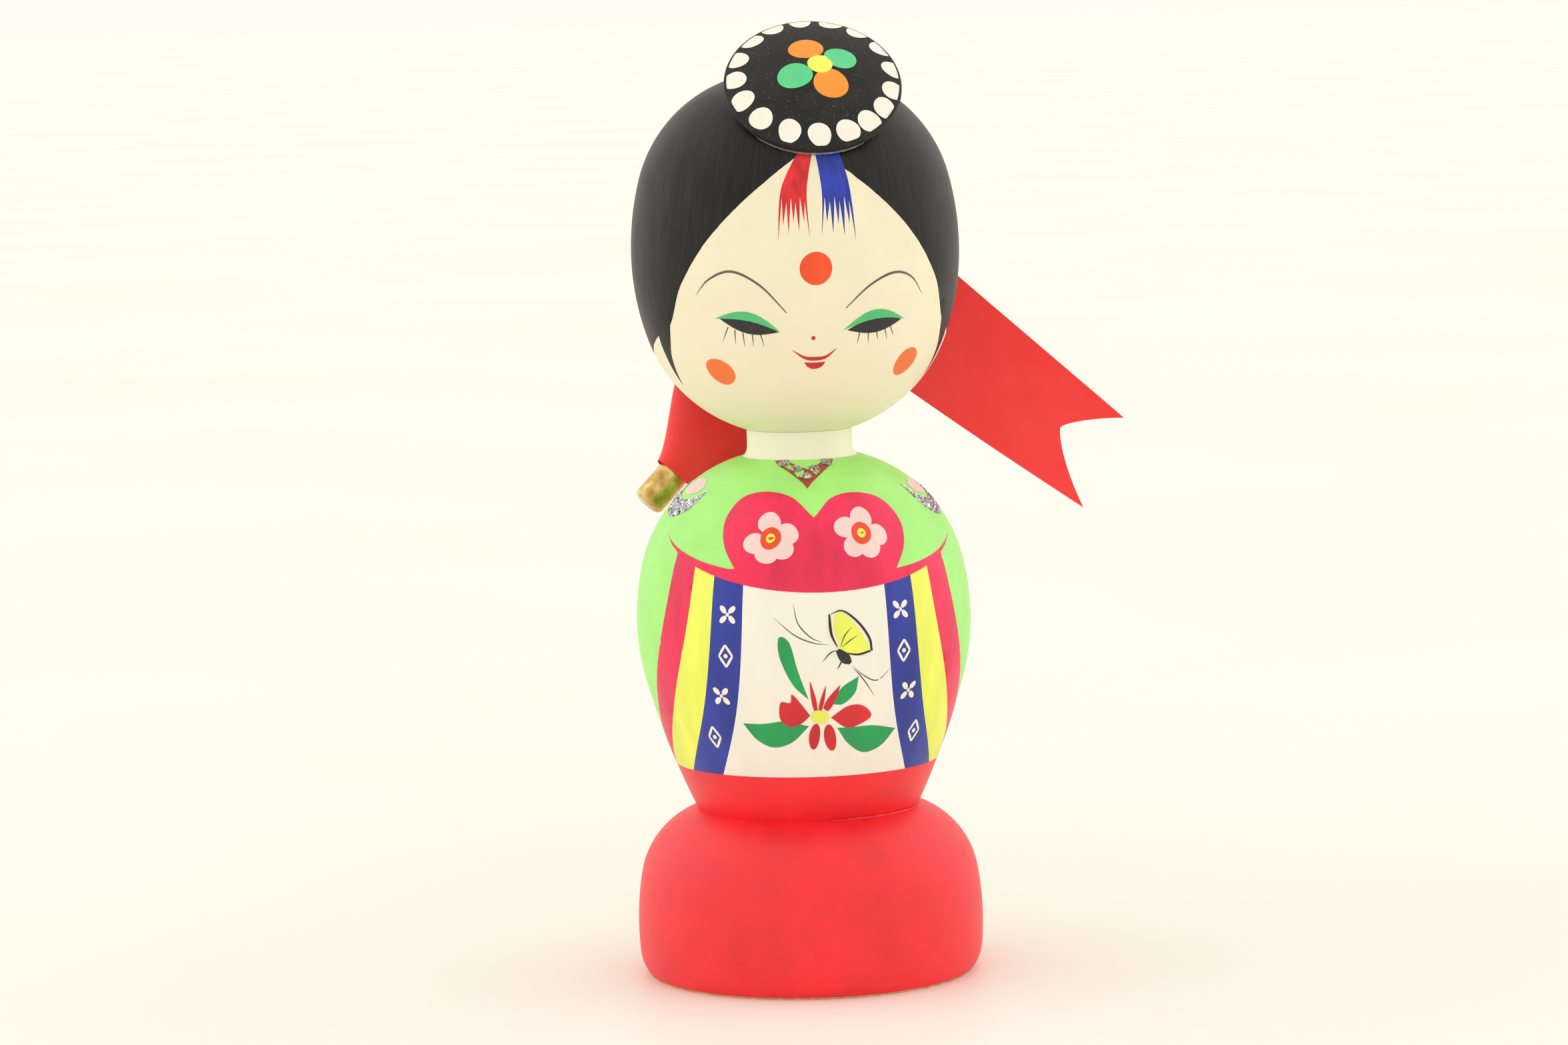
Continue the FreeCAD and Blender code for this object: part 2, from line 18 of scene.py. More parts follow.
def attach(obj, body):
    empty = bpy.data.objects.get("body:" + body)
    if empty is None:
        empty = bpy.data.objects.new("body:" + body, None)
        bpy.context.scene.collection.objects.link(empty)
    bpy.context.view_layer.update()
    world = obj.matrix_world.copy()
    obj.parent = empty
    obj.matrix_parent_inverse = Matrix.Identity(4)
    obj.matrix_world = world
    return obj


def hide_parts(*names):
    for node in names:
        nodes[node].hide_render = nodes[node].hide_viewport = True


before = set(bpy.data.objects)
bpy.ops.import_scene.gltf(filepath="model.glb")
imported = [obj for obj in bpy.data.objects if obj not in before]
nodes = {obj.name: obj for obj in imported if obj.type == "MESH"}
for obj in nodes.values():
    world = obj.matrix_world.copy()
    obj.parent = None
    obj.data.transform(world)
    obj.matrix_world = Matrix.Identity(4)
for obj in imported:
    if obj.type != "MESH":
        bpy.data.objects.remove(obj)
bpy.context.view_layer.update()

MM = 0.001
scene = bpy.context.scene

# the painting's own front on each piece, turned a little from -Y
FACE_TURN, DRESS_TURN = 7.0, 4.0
# the hat's axis and middle, as built
HAT_LEAN, HAT_TILT, HAT_CENTRE, HAT_RADIUS = 4.4, 44.7, Vector((3.9, -16.6, 164.2)), 16.0
# the hairpin, as built: its middle, its rise above level, its skew away from the head
PIN_CENTRE, PIN_RISE, PIN_SKEW = Vector((-2.35, 31.0, 113.75)), 46.7, 12.9
# where the red skirt begins on the body, and how high the foot's underside is left bare
SKIRT_TOP_MM, BARE_EDGE_MM = 39.9, 0.35


# ---------------------------------------------------------------- colours and materials
def tint(red, green, blue):
    """A display colour as the linear colour that shaders take."""
    return tuple(v / 12.92 if v <= 0.04045 else ((v + 0.055) / 1.055) ** 2.4
                 for v in (red / 255, green / 255, blue / 255)) + (1.0,)


class Nodes:
    """A new material with short ways to add and join nodes."""

    def __init__(self, name, roughness=0.5, **sockets):
        self.material = bpy.data.materials.new(name)
        self.material.use_nodes = True
        self.tree = self.material.node_tree
        self.shader = self.tree.nodes["Principled BSDF"]
        self.shader.inputs["Roughness"].default_value = roughness
        for socket, value in sockets.items():
            self.shader.inputs[socket.replace("_", " ")].default_value = value
        self.place = self.add("ShaderNodeTexCoord").outputs["Object"]

    def add(self, kind, **settings):
        node = self.tree.nodes.new(kind)
        for key, value in settings.items():
            setattr(node, key, value)
        return node

    def join(self, source, target):
        self.tree.links.new(source, target)

    def math(self, operation, *values):
        node = self.add("ShaderNodeMath", operation=operation)
        for socket, value in zip(node.inputs, values):
            if isinstance(value, (int, float)):
                socket.default_value = value
            else:
                self.join(value, socket)
        return node.outputs[0]

    def noise(self, scale, detail=3.0, stretch=(1, 1, 1), roughness=0.55, source=None):
        """Noise with a given number of features per metre, stretched along the axes."""
        mapping = self.add("ShaderNodeMapping")
        mapping.inputs["Scale"].default_value = stretch
        self.join(source or self.place, mapping.inputs["Vector"])
        node = self.add("ShaderNodeTexNoise")
        node.inputs["Scale"].default_value = scale
        node.inputs["Detail"].default_value = detail
        node.inputs["Roughness"].default_value = roughness
        self.join(mapping.outputs[0], node.inputs["Vector"])
        return node.outputs["Fac"]

    def ramp(self, source, stops):
        node = self.add("ShaderNodeValToRGB")
        elements = node.color_ramp.elements
        while len(elements) < len(stops):
            elements.new(0.5)
        for element, (at, colour) in zip(elements, stops):
            element.position = at
            element.color = colour if len(colour) == 4 else (*colour, 1.0)
        self.join(source, node.inputs[0])
        return node.outputs["Color"]

    def mix(self, factor, first, second):
        node = self.add("ShaderNodeMix", data_type="RGBA")
        self.join(factor, node.inputs[0])
        for socket, value in ((node.inputs[6], first), (node.inputs[7], second)):
            if isinstance(value, tuple):
                socket.default_value = value
            else:
                self.join(value, socket)
        return node.outputs[2]

    def axes(self):
        """The object's own X, Y and Z."""
        split = self.add("ShaderNodeSeparateXYZ")
        self.join(self.place, split.inputs[0])
        return split.outputs

    def colour(self, source):
        self.join(source, self.shader.inputs["Base Color"])

    def coloured(self):
        """What the base colour is joined to."""
        return self.shader.inputs["Base Color"].links[0].from_socket

    def rough(self, source, low, high):
        node = self.add("ShaderNodeMapRange")
        node.inputs["To Min"].default_value = low
        node.inputs["To Max"].default_value = high
        self.join(source, node.inputs["Value"])
        self.join(node.outputs[0], self.shader.inputs["Roughness"])

    def bump(self, *layers):
        """Bumps one over another, each (height, strength, depth in mm)."""
        last = None
        for height, strength, depth in layers:
            node = self.add("ShaderNodeBump")
            node.inputs["Strength"].default_value = strength
            node.inputs["Distance"].default_value = depth * MM
            self.join(height, node.inputs["Height"])
            if last is not None:
                self.join(last, node.inputs["Normal"])
            last = node.outputs[0]
        self.join(last, self.shader.inputs["Normal"])


def shades(colour, amount):
    """A colour a little darker, and a little lighter."""
    dark = tuple(c * (1 - amount) for c in colour[:3]) + (1.0,)
    light = tuple(min(1.0, c * (1 + amount * 0.5) + 0.01 * amount) for c in colour[:3]) + (1.0,)
    return dark, light


def turned_paint(name, colour, roughness=0.5, amount=0.09, grain=0.25):
    """Paint brushed on while the piece turned on the lathe: fine rings, mottling and a little dust."""
    n = Nodes(name)
    rings = n.noise(60, 2, (1, 1, 42))
    mottle = n.noise(110, 4)
    speck = n.noise(2600, 2)
    dark, light = shades(colour, amount)
    mixed = n.math("ADD", n.math("MULTIPLY", rings, 0.2), n.math("MULTIPLY", mottle, 0.8))
    n.colour(n.ramp(mixed, [(0.32, dark), (0.68, light)]))
    n.rough(mottle, roughness - 0.08, roughness + 0.1)
    n.bump((rings, grain, 0.05), (speck, grain * 0.5, 0.03))
    return n


def hand_paint(name, colour, roughness=0.42, amount=0.14, streaks=150):
    """Bright paint from a small brush: faint streaks, an uneven film."""
    n = Nodes(name)
    streak = n.noise(streaks, 3, (1, 1, 0.22))
    film = n.noise(900, 2)
    dark, light = shades(colour, amount)
    n.colour(n.ramp(streak, [(0.3, dark), (0.7, light)]))
    n.rough(film, roughness - 0.1, roughness + 0.12)
    n.bump((streak, 0.25, 0.05), (film, 0.2, 0.03))
    return n.material


RED = tint(244, 36, 47)
HAIR_DARK, HAIR_LIGHT = tint(13, 12, 10), tint(36, 34, 29)


def foot_material():
    """Red, over bare wood that shows at the underside's edge."""
    n = turned_paint("Foot_Paint", RED, 0.46, 0.12, 0.3)
    red = n.coloured()
    rings = n.noise(900, 3, (1, 0.12, 1))
    wood = n.ramp(rings, [(0.3, tint(190, 148, 98)), (0.7, tint(226, 194, 148))])
    under = n.math("LESS_THAN", n.axes()["Z"], BARE_EDGE_MM * MM)
    n.colour(n.mix(under, red, wood))
    return n.material


def body_material():
    """Green above, red below a line painted on the lathe."""
    n = turned_paint("Body_Paint", tint(168, 242, 124), 0.42, 0.09, 0.22)
    green = n.coloured()
    wander = n.math("MULTIPLY", n.math("SUBTRACT", n.noise(220, 2), 0.5), 0.1 * MM)
    height = n.math("ADD", n.axes()["Z"], wander)
    dark, light = shades(RED, 0.12)
    red = n.ramp(n.noise(110, 4), [(0.32, dark), (0.68, light)])
    n.colour(n.mix(n.math("LESS_THAN", height, SKIRT_TOP_MM * MM), green, red))
    return n.material


# the hairline: half angle from the middle of the face, and height
HAIRLINE = [(0, 153.5), (18, 147), (35, 139), (50, 129.5), (63, 120.5), (70, 119.5), (90, 115.5), (125, 109),
            (180, 105.5)]
HEAD_LOW_MM, HEAD_HIGH_MM = 100.0, 168.0


def head_material():
    """Cream face; black hair above the hairline, brushed down from the crown."""
    n = turned_paint("Head_Paint", tint(243, 235, 206), 0.42, 0.03, 0.1)
    n.shader.inputs["Specular IOR Level"].default_value = 0.25
    cream = n.coloured()
    axes = n.axes()
    azimuth = n.math("ARCTAN2", axes["X"], n.math("MULTIPLY", axes["Y"], -1.0))
    from_face = n.math("SUBTRACT", azimuth, math.radians(FACE_TURN))
    around = n.math("ABSOLUTE", n.math("WRAP", from_face, math.pi, -math.pi))
    curve = n.add("ShaderNodeFloatCurve")
    line = curve.mapping.curves[0]
    span = HEAD_HIGH_MM - HEAD_LOW_MM
    places = [(angle / 180, (height - HEAD_LOW_MM) / span) for angle, height in HAIRLINE]
    while len(line.points) < len(places):
        line.points.new(0.5, 0.5)
    for point, place in zip(line.points, places):
        point.location = place
        point.handle_type = "AUTO"
    curve.mapping.update()
    n.join(n.math("DIVIDE", around, math.pi), curve.inputs["Value"])
    edge = n.math("ADD", n.math("MULTIPLY", curve.outputs[0], span * MM), HEAD_LOW_MM * MM)
    ragged = n.math("MULTIPLY", n.math("SUBTRACT", n.noise(500, 2), 0.5), 0.35 * MM)
    height = n.math("ADD", axes["Z"], ragged)
    is_hair = n.math("GREATER_THAN", height, edge)

    fan = n.add("ShaderNodeCombineXYZ")
    n.join(n.math("MULTIPLY", azimuth, 0.030), fan.inputs[0])
    n.join(n.math("MULTIPLY", axes["Z"], 0.10), fan.inputs[1])
    strands = n.noise(1400, 4, source=fan.outputs[0])
    sheen = n.noise(300, 2, source=fan.outputs[0])
    blend = n.math("ADD", n.math("MULTIPLY", strands, 0.7), n.math("MULTIPLY", sheen, 0.3))
    black = n.ramp(blend, [(0.36, HAIR_DARK), (0.66, HAIR_LIGHT)])
    n.colour(n.mix(is_hair, cream, black))
    n.bump((n.math("MULTIPLY", strands, is_hair), 0.45, 0.09), (n.noise(60, 2, (1, 1, 42)), 0.08, 0.04))
    return n.material


def hair_material():
    """The same black, for locks and the hat's side."""
    n = Nodes("Hair_Paint", Specular_IOR_Level=0.25)
    strands = n.noise(260, 4, (1, 1, 0.15))
    n.colour(n.ramp(strands, [(0.36, HAIR_DARK), (0.68, HAIR_LIGHT)]))
    n.rough(strands, 0.38, 0.55)
    n.bump((strands, 0.4, 0.08))
    return n.material


def hat_material():
    """Matt black with fine pale specks of dust."""
    n = Nodes("Hat_Black", Specular_IOR_Level=0.35)
    speck = n.noise(3600, 1)
    cloud = n.noise(240, 4)
    base = n.ramp(cloud, [(0.35, tint(14, 14, 13)), (0.7, tint(34, 33, 31))])
    n.colour(n.mix(n.ramp(speck, [(0.70, (0, 0, 0)), (0.76, (1, 1, 1))]), base, tint(120, 118, 116)))
    n.rough(cloud, 0.5, 0.68)
    n.bump((speck, 0.3, 0.05), (cloud, 0.2, 0.1))
    return n.material


def gold_material():
    """Gold paint, thick and lumpy."""
    n = Nodes("Gold_Paint", 0.3, Metallic=0.85)
    lump = n.noise(380, 4)
    fine = n.noise(2200, 3)
    n.colour(n.ramp(lump, [(0.3, tint(172, 134, 70)), (0.5, tint(210, 174, 102)),
                           (0.72, tint(248, 222, 156))]))
    n.rough(fine, 0.2, 0.46)
    n.bump((lump, 0.7, 0.35), (fine, 0.4, 0.08))
    return n.material


def satin_material():
    """Red satin: a fine weave across the band and soft streaks along it."""
    n = Nodes("Red_Satin", 0.42, Sheen_Weight=0.12, Sheen_Roughness=0.35, Anisotropic=0.5)
    band = n.add("ShaderNodeUVMap", uv_map="Band").outputs[0]
    weft = n.noise(1.0, 1, (80, 4200, 1), source=band)
    warp = n.noise(1.0, 2, (2600, 60, 1), source=band)
    cloud = n.noise(60, 3)
    weave = n.math("ADD", n.math("MULTIPLY", weft, 0.5), n.math("MULTIPLY", warp, 0.5))
    tone = n.math("ADD", n.math("MULTIPLY", weave, 0.4), n.math("MULTIPLY", cloud, 0.6))
    n.colour(n.ramp(tone, [(0.3, tint(250, 24, 26)), (0.7, tint(255, 56, 54))]))
    n.rough(weave, 0.34, 0.5)
    n.bump((weft, 0.3, 0.05), (warp, 0.3, 0.05))
    return n.material


def bare_wood():
    """Pale wood, its grain along the axis."""
    n = Nodes("Bare_Wood", 0.7)
    grain = n.noise(420, 4, (1, 1, 0.1))
    n.colour(n.ramp(grain, [(0.3, tint(196, 156, 108)), (0.7, tint(228, 198, 154))]))
    n.bump((grain, 0.3, 0.08))
    return n.material


def steel():
    """The nail, lightly scratched."""
    n = Nodes("Nail_Steel", 0.35, Metallic=1.0)
    scratch = n.noise(1800, 3, (1, 0.1, 1))
    n.colour(n.ramp(scratch, [(0.3, tint(150, 150, 152)), (0.7, tint(198, 198, 200))]))
    n.rough(scratch, 0.28, 0.45)
    n.bump((scratch, 0.2, 0.03))
    return n.material


def clear_glue():
    """Dried glue, clear and uneven."""
    n = Nodes("Clear_Glue", 0.12, Transmission_Weight=0.85, IOR=1.47)
    lump = n.noise(700, 2)
    n.colour(n.ramp(lump, [(0.3, tint(232, 232, 226)), (0.7, tint(252, 252, 248))]))
    n.bump((lump, 0.4, 0.1))
    return n.material


def glitter():
    """Silver flakes, some brighter than others."""
    n = Nodes("Silver_Glitter", 0.2, Metallic=1.0)
    spark = n.noise(1500, 1)
    n.colour(n.ramp(spark, [(0.3, tint(150, 148, 150)), (0.6, tint(244, 242, 246))]))
    n.rough(spark, 0.12, 0.35)
    return n.material


def silver_lacquer():
    """The film that holds the flakes."""
    n = Nodes("Silver_Lacquer", 0.4, Metallic=0.6)
    spark = n.noise(3200, 1)
    n.colour(n.ramp(spark, [(0.42, tint(142, 140, 142)), (0.6, tint(226, 224, 228))]))
    n.rough(spark, 0.25, 0.5)
    n.bump((spark, 0.8, 0.12))
    return n.material


foot_paint, body_paint, head_paint = foot_material(), body_material(), head_material()
neck_paint = turned_paint("Neck_Paint", tint(252, 249, 228), 0.55, 0.04, 0.3).material
wood, hair_paint, hat_black = bare_wood(), hair_material(), hat_material()
gold, satin, nail_steel = gold_material(), satin_material(), steel()
glue, flakes, lacquer = clear_glue(), glitter(), silver_lacquer()
PINK = hand_paint("Pink_Paint", tint(242, 30, 84), 0.42, 0.22)
WHITE = hand_paint("White_Paint", tint(246, 241, 228), 0.5, 0.04)
YELLOW = hand_paint("Yellow_Paint", tint(240, 248, 96))
BLUE = hand_paint("Blue_Paint", tint(34, 52, 158), 0.38, 0.3)
FLOWER_RED = hand_paint("Flower_Red", tint(214, 28, 36), 0.35, 0.25)
LEAF = hand_paint("Leaf_Green", tint(20, 160, 84), 0.38, 0.2)
LID = hand_paint("Lid_Green", tint(80, 198, 122), 0.42, 0.15)
INK = hand_paint("Ink_Black", tint(34, 32, 32), 0.4, 0.2)
FINE_INK = hand_paint("Fine_Ink", tint(98, 94, 84), 0.5, 0.3)
ORANGE = hand_paint("Orange_Paint", tint(242, 78, 22))
CHEEK = hand_paint("Cheek_Orange", tint(252, 122, 48), 0.45, 0.12)
BLOSSOM = hand_paint("Blossom_Pink", tint(247, 214, 210), 0.45, 0.08)
COLLAR = hand_paint("Collar_Brown", tint(166, 58, 50), 0.45, 0.2)
TASSEL_RED = hand_paint("Tassel_Red", tint(222, 22, 30), 0.4, 0.4, 700)
TASSEL_BLUE = hand_paint("Tassel_Blue", tint(26, 50, 172), 0.4, 0.4, 700)
HAT_ORANGE = hand_paint("Hat_Orange", tint(255, 152, 38))
HAT_GREEN = hand_paint("Hat_Green", tint(90, 214, 142))


NODE_MATERIALS = {
    "base": foot_paint, "base_dowel": wood, "body": body_paint, "neck": neck_paint, "head": head_paint,
    "hat": hat_black, "hat_peg": wood, "hairpin": gold, "hairpin_nail": nail_steel,
}
for name, material in NODE_MATERIALS.items():
    nodes[name].data.materials[0] = material


# ---------------------------------------------------------------- surfaces that paint follows
# rays start this far from a turned piece's axis, behind and around it, and this far above the hat's middle
BEHIND_MM, AROUND_MM, ABOVE_MM = 90, 60, 12
# paint on the hat stays this far inside its rim
HAT_MARGIN = 0.5


def tree_of(node):
    """A node's surface, for rays to hit."""
    mesh = nodes[node].data
    return BVHTree.FromPolygons([v.co for v in mesh.vertices], [p.vertices for p in mesh.polygons])


class Turned:
    """A turned piece: places are (azimuth from the painting's front, height)."""

    def __init__(self, node, body, turn):
        self.tree, self.body, self.turn = tree_of(node), body, turn

    def reach(self, height):
        """The piece's radius behind the front, where nothing is cut into it."""
        start = Vector((0, BEHIND_MM, height)) * MM
        hit = self.tree.ray_cast(start, Vector((0, -1, 0)))[0]
        return hit.y / MM if hit else 1.0

    def flat(self, place, about):
        """Millimetres along the surface from a middle place."""
        return (math.radians(place[0] - about[0]) * self.reach(about[1]), place[1] - about[1])

    def unflat(self, point, about):
        return (about[0] + math.degrees(point[0] / self.reach(about[1])), about[1] + point[1])

    def lay(self, place, lift):
        angle = math.radians(place[0] + self.turn)
        outward = Vector((math.sin(angle), -math.cos(angle), 0))
        start = outward * AROUND_MM * MM + Vector((0, 0, place[1] * MM))
        hit, normal = self.tree.ray_cast(start, -outward)[:2]
        if hit is None:
            return start
        return hit + normal * lift * MM


class Domed:
    """The hat's dome: places are millimetres across it, +x to the side and +y up its slope."""

    body = "head"

    def __init__(self):
        self.tree = tree_of("hat")
        lean = Matrix.Rotation(math.radians(HAT_LEAN), 3, "Y")
        self.turn = lean @ Matrix.Rotation(math.radians(HAT_TILT), 3, "X")

    def flat(self, place, about):
        return (place[0] - about[0], place[1] - about[1])

    def unflat(self, point, about):
        return (point[0] + about[0], point[1] + about[1])

    def lay(self, place, lift):
        shrink = min(1.0, (HAT_RADIUS - HAT_MARGIN) / (math.hypot(*place) or 1.0))
        start = HAT_CENTRE * MM + self.turn @ Vector((place[0] * shrink, place[1] * shrink, ABOVE_MM)) * MM
        hit, normal = self.tree.ray_cast(start, self.turn @ Vector((0, 0, -1)))[:2]
        if hit is None:
            return HAT_CENTRE * MM
        return hit + normal * lift * MM


HEAD, BODY = Turned("head", "head", FACE_TURN), Turned("body", "stand", DRESS_TURN)
HAT = Domed()


# ---------------------------------------------------------------- outlines
def rounded(points, closed=True, steps=7):
    """A smooth line through places; a place with a third value is a sharp corner."""
    count, out = len(points), []
    for i in range(count if closed else count - 1):
        one, two = points[i], points[(i + 1) % count]
        before, after = points[i - 1], points[(i + 2) % count]
        if len(one) > 2 or (not closed and i == 0):
            before = (2 * one[0] - two[0], 2 * one[1] - two[1])
        if len(two) > 2 or (not closed and i == count - 2):
            after = (2 * two[0] - one[0], 2 * two[1] - one[1])
        for k in range(steps):
            t = k / steps
            out.append(tuple(0.5 * (2 * one[c] + (two[c] - before[c]) * t
                                    + (2 * before[c] - 5 * one[c] + 4 * two[c] - after[c]) * t ** 2
                                    + (3 * one[c] - before[c] - 3 * two[c] + after[c]) * t ** 3)
                             for c in (0, 1)))
    if not closed:
        out.append(points[-1][:2])
    return out


def oval(skin, middle, half_width, half_height, tilt=0.0, count=28, wobble=0.03, seed=0):
    """An oval dab in millimetres about a place, a little uneven as a brush leaves it."""
    chance = random.Random(seed)
    phase = [chance.uniform(0, 6.28) for _ in range(2)]
    out = []
    for k in range(count):
        angle = 2 * math.pi * k / count
        size = 1 + wobble * (math.sin(2 * angle + phase[0]) + 0.6 * math.sin(3 * angle + phase[1]))
        x, y = half_width * size * math.cos(angle), half_height * size * math.sin(angle)
        c, s = math.cos(math.radians(tilt)), math.sin(math.radians(tilt))
        out.append(skin.unflat((c * x - s * y, s * x + c * y), middle))
    return out


def stroke(skin, points, width, ends=(0.15, 0.15), swell=0.5):
    """A brush stroke along places: its outline, widest at swell of its length."""
    about = points[len(points) // 2]
    line = [skin.flat(p, about) for p in rounded(points, closed=False, steps=8)]
    left, right = [], []
    for i, (x, y) in enumerate(line):
        a, b = line[max(0, i - 1)], line[min(len(line) - 1, i + 1)]
        length = math.dist(a, b) or 1.0
        nx, ny = -(b[1] - a[1]) / length, (b[0] - a[0]) / length
        t = i / (len(line) - 1)
        rise = min(1.0, t / swell) if t < swell else (1 - t) / (1 - swell)
        tip = ends[0] if t < swell else ends[1]
        half = width / 2 * (tip + (1 - tip) * math.sin(rise * math.pi / 2))
        left.append(skin.unflat((x + nx * half, y + ny * half), about))
        right.append(skin.unflat((x - nx * half, y - ny * half), about))
    return left + right[::-1]


def lens(skin, one, two, left, right, steps=10):
    """Two arcs from one corner to the other, left and right of the way between them by so many mm."""
    across, rise = skin.flat(two, one)
    length = math.hypot(across, rise)
    out = []
    for bulge, places in ((left, range(steps)), (right, range(steps, 0, -1))):
        for k in places:
            t, off = k / steps, bulge / length * math.sin(math.pi * k / steps)
            out.append(skin.unflat((across * t - rise * off, rise * t + across * off), one))
    return out


def inside(point, outline):
    """Whether a point lies within a closed outline."""
    x, y = point
    odd = False
    for (ax, ay), (bx, by) in zip(outline, outline[1:] + outline[:1]):
        if (ay > y) != (by > y) and x < (bx - ax) * (y - ay) / (by - ay) + ax:
            odd = not odd
    return odd


def flattened(skin, outline):
    """An outline in mm about its own middle, with its lowest and its highest corner."""
    about = (sum(p[0] for p in outline) / len(outline), sum(p[1] for p in outline) / len(outline))
    edge = [skin.flat(p, about) for p in outline]
    low = [min(p[c] for p in edge) for c in (0, 1)]
    high = [max(p[c] for p in edge) for c in (0, 1)]
    return about, edge, low, high


def piece(name, mesh, body, material, smooth=True):
    """A mesh as a named piece that rides on a body."""
    item = bpy.data.objects.new(name, mesh)
    scene.collection.objects.link(item)
    mesh.materials.append(material)
    for polygon in mesh.polygons:
        polygon.use_smooth = smooth
    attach(item, body)
    return item


# a film is this much lower at its rim; its inner points keep this part of a step away from the rim
RIM_DROP, RIM_GAP = 0.025, 0.35


def paint(name, skin, outlines, material, lift=0.05, step=1.3, over=0.0):
    """Films of paint inside closed outlines, thinner at their edges, each laid a little over the last."""
    verts, faces = [], []
    for number, outline in enumerate(outlines):
        level = lift + number * over
        about, edge, low, high = flattened(skin, outline)
        fill = []
        rows, columns = int((high[1] - low[1]) / step), int((high[0] - low[0]) / step)
        for row in range(rows + 1):
            for column in range(columns + 1):
                spot = (low[0] + (column + 0.5 * (row % 2)) * step, low[1] + (row + 0.5) * step)
                if inside(spot, edge) and min(math.dist(spot, p) for p in edge) > RIM_GAP * step:
                    fill.append(spot)
        flat_verts = [Vector(p) for p in edge + fill]
        result = delaunay_2d_cdt(flat_verts, [], [list(range(len(edge)))], 1, 1e-6)
        first = len(verts)
        for spot, origins in zip(result[0], result[3]):
            rim = any(o < len(edge) for o in origins)
            verts.append(skin.lay(skin.unflat(spot, about), level - RIM_DROP if rim else level))
        faces += [[first + v for v in face] for face in result[2]]
    mesh = bpy.data.meshes.new(name)
    mesh.from_pydata(verts, [], faces)
    return piece(name, mesh, skin.body, material)


def mirrored(points):
    """The same places on the painting's other side."""
    return [(-p[0], *p[1:]) for p in points]


# ---------------------------------------------------------------- face
LOCK = [(59, 124.5), (62, 119.5), (66, 116), (69.5, 112.5), (72.5, 110, 1), (71.5, 114.5), (71, 119.5),
        (67, 123.5)]
paint("side_locks", HEAD, [rounded(LOCK), rounded(mirrored(LOCK))], hair_paint, 0.06)

paint("brows", HEAD, [
    stroke(HEAD, [(-44.5, 127), (-38.5, 130), (-29.5, 131.5), (-19.5, 129), (-10.5, 124)], 0.45, (0.05, 0.4)),
    stroke(HEAD, [(10.5, 124.5), (19.5, 128.5), (29, 130.5), (37, 129.5), (43.5, 126)], 0.45, (0.4, 0.05))],
    FINE_INK)
paint("eyelids", HEAD, [lens(HEAD, (-37.5, 123), (-13, 120.5), 2.5, 0.9),
                        lens(HEAD, (10, 120.5), (35.5, 122), 2.8, 1.1)], LID, 0.07)
paint("eyes", HEAD, [lens(HEAD, (-35.5, 123), (-13.5, 120.5), 1.3, -1.5),
                     lens(HEAD, (11.5, 120.5), (34, 122), 1.4, -1.4)], INK, 0.05)
LASHES = [((-32.5, 121.5), (-35.5, 119)), ((-30, 121), (-30.5, 118.5)), ((-27, 120.5), (-27, 118)),
          ((-23.5, 120.5), (-23.5, 118)), ((-20.5, 120.5), (-19.5, 118)), ((16.5, 120), (16, 118)),
          ((20, 120), (20.5, 118)), ((23.5, 120), (24.5, 118.5)), ((27, 120.5), (28.5, 118.5)),
          ((29, 121), (31.5, 119))]
paint("lashes", HEAD, [stroke(HEAD, [a, b], 0.22, (0.9, 0.2), 0.1) for a, b in LASHES], FINE_INK, 0.045)
UPPER_LIP = [(-9, 117.2), (-4.5, 115.8), (-0.5, 115.5), (4, 115.8), (8, 117.3)]
LOWER_LIP = [(-4.5, 114.9, 1), (-0.5, 114.8), (4, 114.9, 1), (2.5, 114), (-0.5, 113.6), (-3, 114)]
paint("mouth", HEAD, [stroke(HEAD, UPPER_LIP, 0.7, (0.1, 0.1)), rounded(LOWER_LIP)], FLOWER_RED)
paint("nose", HEAD, [oval(HEAD, (-1, 119.3), 0.4, 0.38, count=14)], FLOWER_RED)
paint("cheeks", HEAD, [oval(HEAD, (-40.5, 113.2), 2.95, 2.35, -28, seed=2),
                       oval(HEAD, (42.5, 114), 2.8, 2.45, 30, seed=3)], CHEEK)
paint("forehead_dot", HEAD, [oval(HEAD, (0, 131.8), 2.95, 2.95, count=36, wobble=0.01)], ORANGE)

# heights on a tassel: where it leaves the hat, its shoulder, and where its needles begin
HAT_EDGE_MM, SHOULDER_MM, NEEDLE_ROOT_MM = 152.5, 148.5, 144.5
# how much of its widening is done at the shoulder, how far needles splay, how much lower every other gap is
SHOULDER_PART, NEEDLE_SPLAY, NEEDLE_STAGGER = 0.65, 0.14, 0.8


def tassel(name, top, foot, lengths, material):
    """A flat brush-load drawn down from under the hat, whose bristles part into needles."""
    middle, last = (foot[0] + foot[1]) / 2, len(lengths) - 1
    shoulder = [top[side] + SHOULDER_PART * (foot[side] - top[side]) for side in (0, 1)]
    outline = [(top[0], HAT_EDGE_MM, 1), (shoulder[0], SHOULDER_MM), (foot[0], NEEDLE_ROOT_MM)]
    for k, length in enumerate(lengths):
        place = foot[0] + (foot[1] - foot[0]) * k / last
        outline.append((place + NEEDLE_SPLAY * (place - middle), NEEDLE_ROOT_MM - length, 1))
        if k < last:
            gap = place + (foot[1] - foot[0]) / last / 2
            outline.append((gap, NEEDLE_ROOT_MM - NEEDLE_STAGGER * (k % 2), 1))
    outline += [(foot[1], NEEDLE_ROOT_MM), (shoulder[1], SHOULDER_MM), (top[1], HAT_EDGE_MM, 1)]
    paint(name, HEAD, [rounded(outline, steps=4)], material)


tassel("red_tassel", (-5, 0.5), (-12, -2.5), (8, 5, 6.5, 4.5, 6, 4.5, 7.5), TASSEL_RED)
tassel("blue_tassel", (1.5, 11), (3, 13.5), (7, 4.5, 6.5, 5, 7, 5, 8), TASSEL_BLUE)


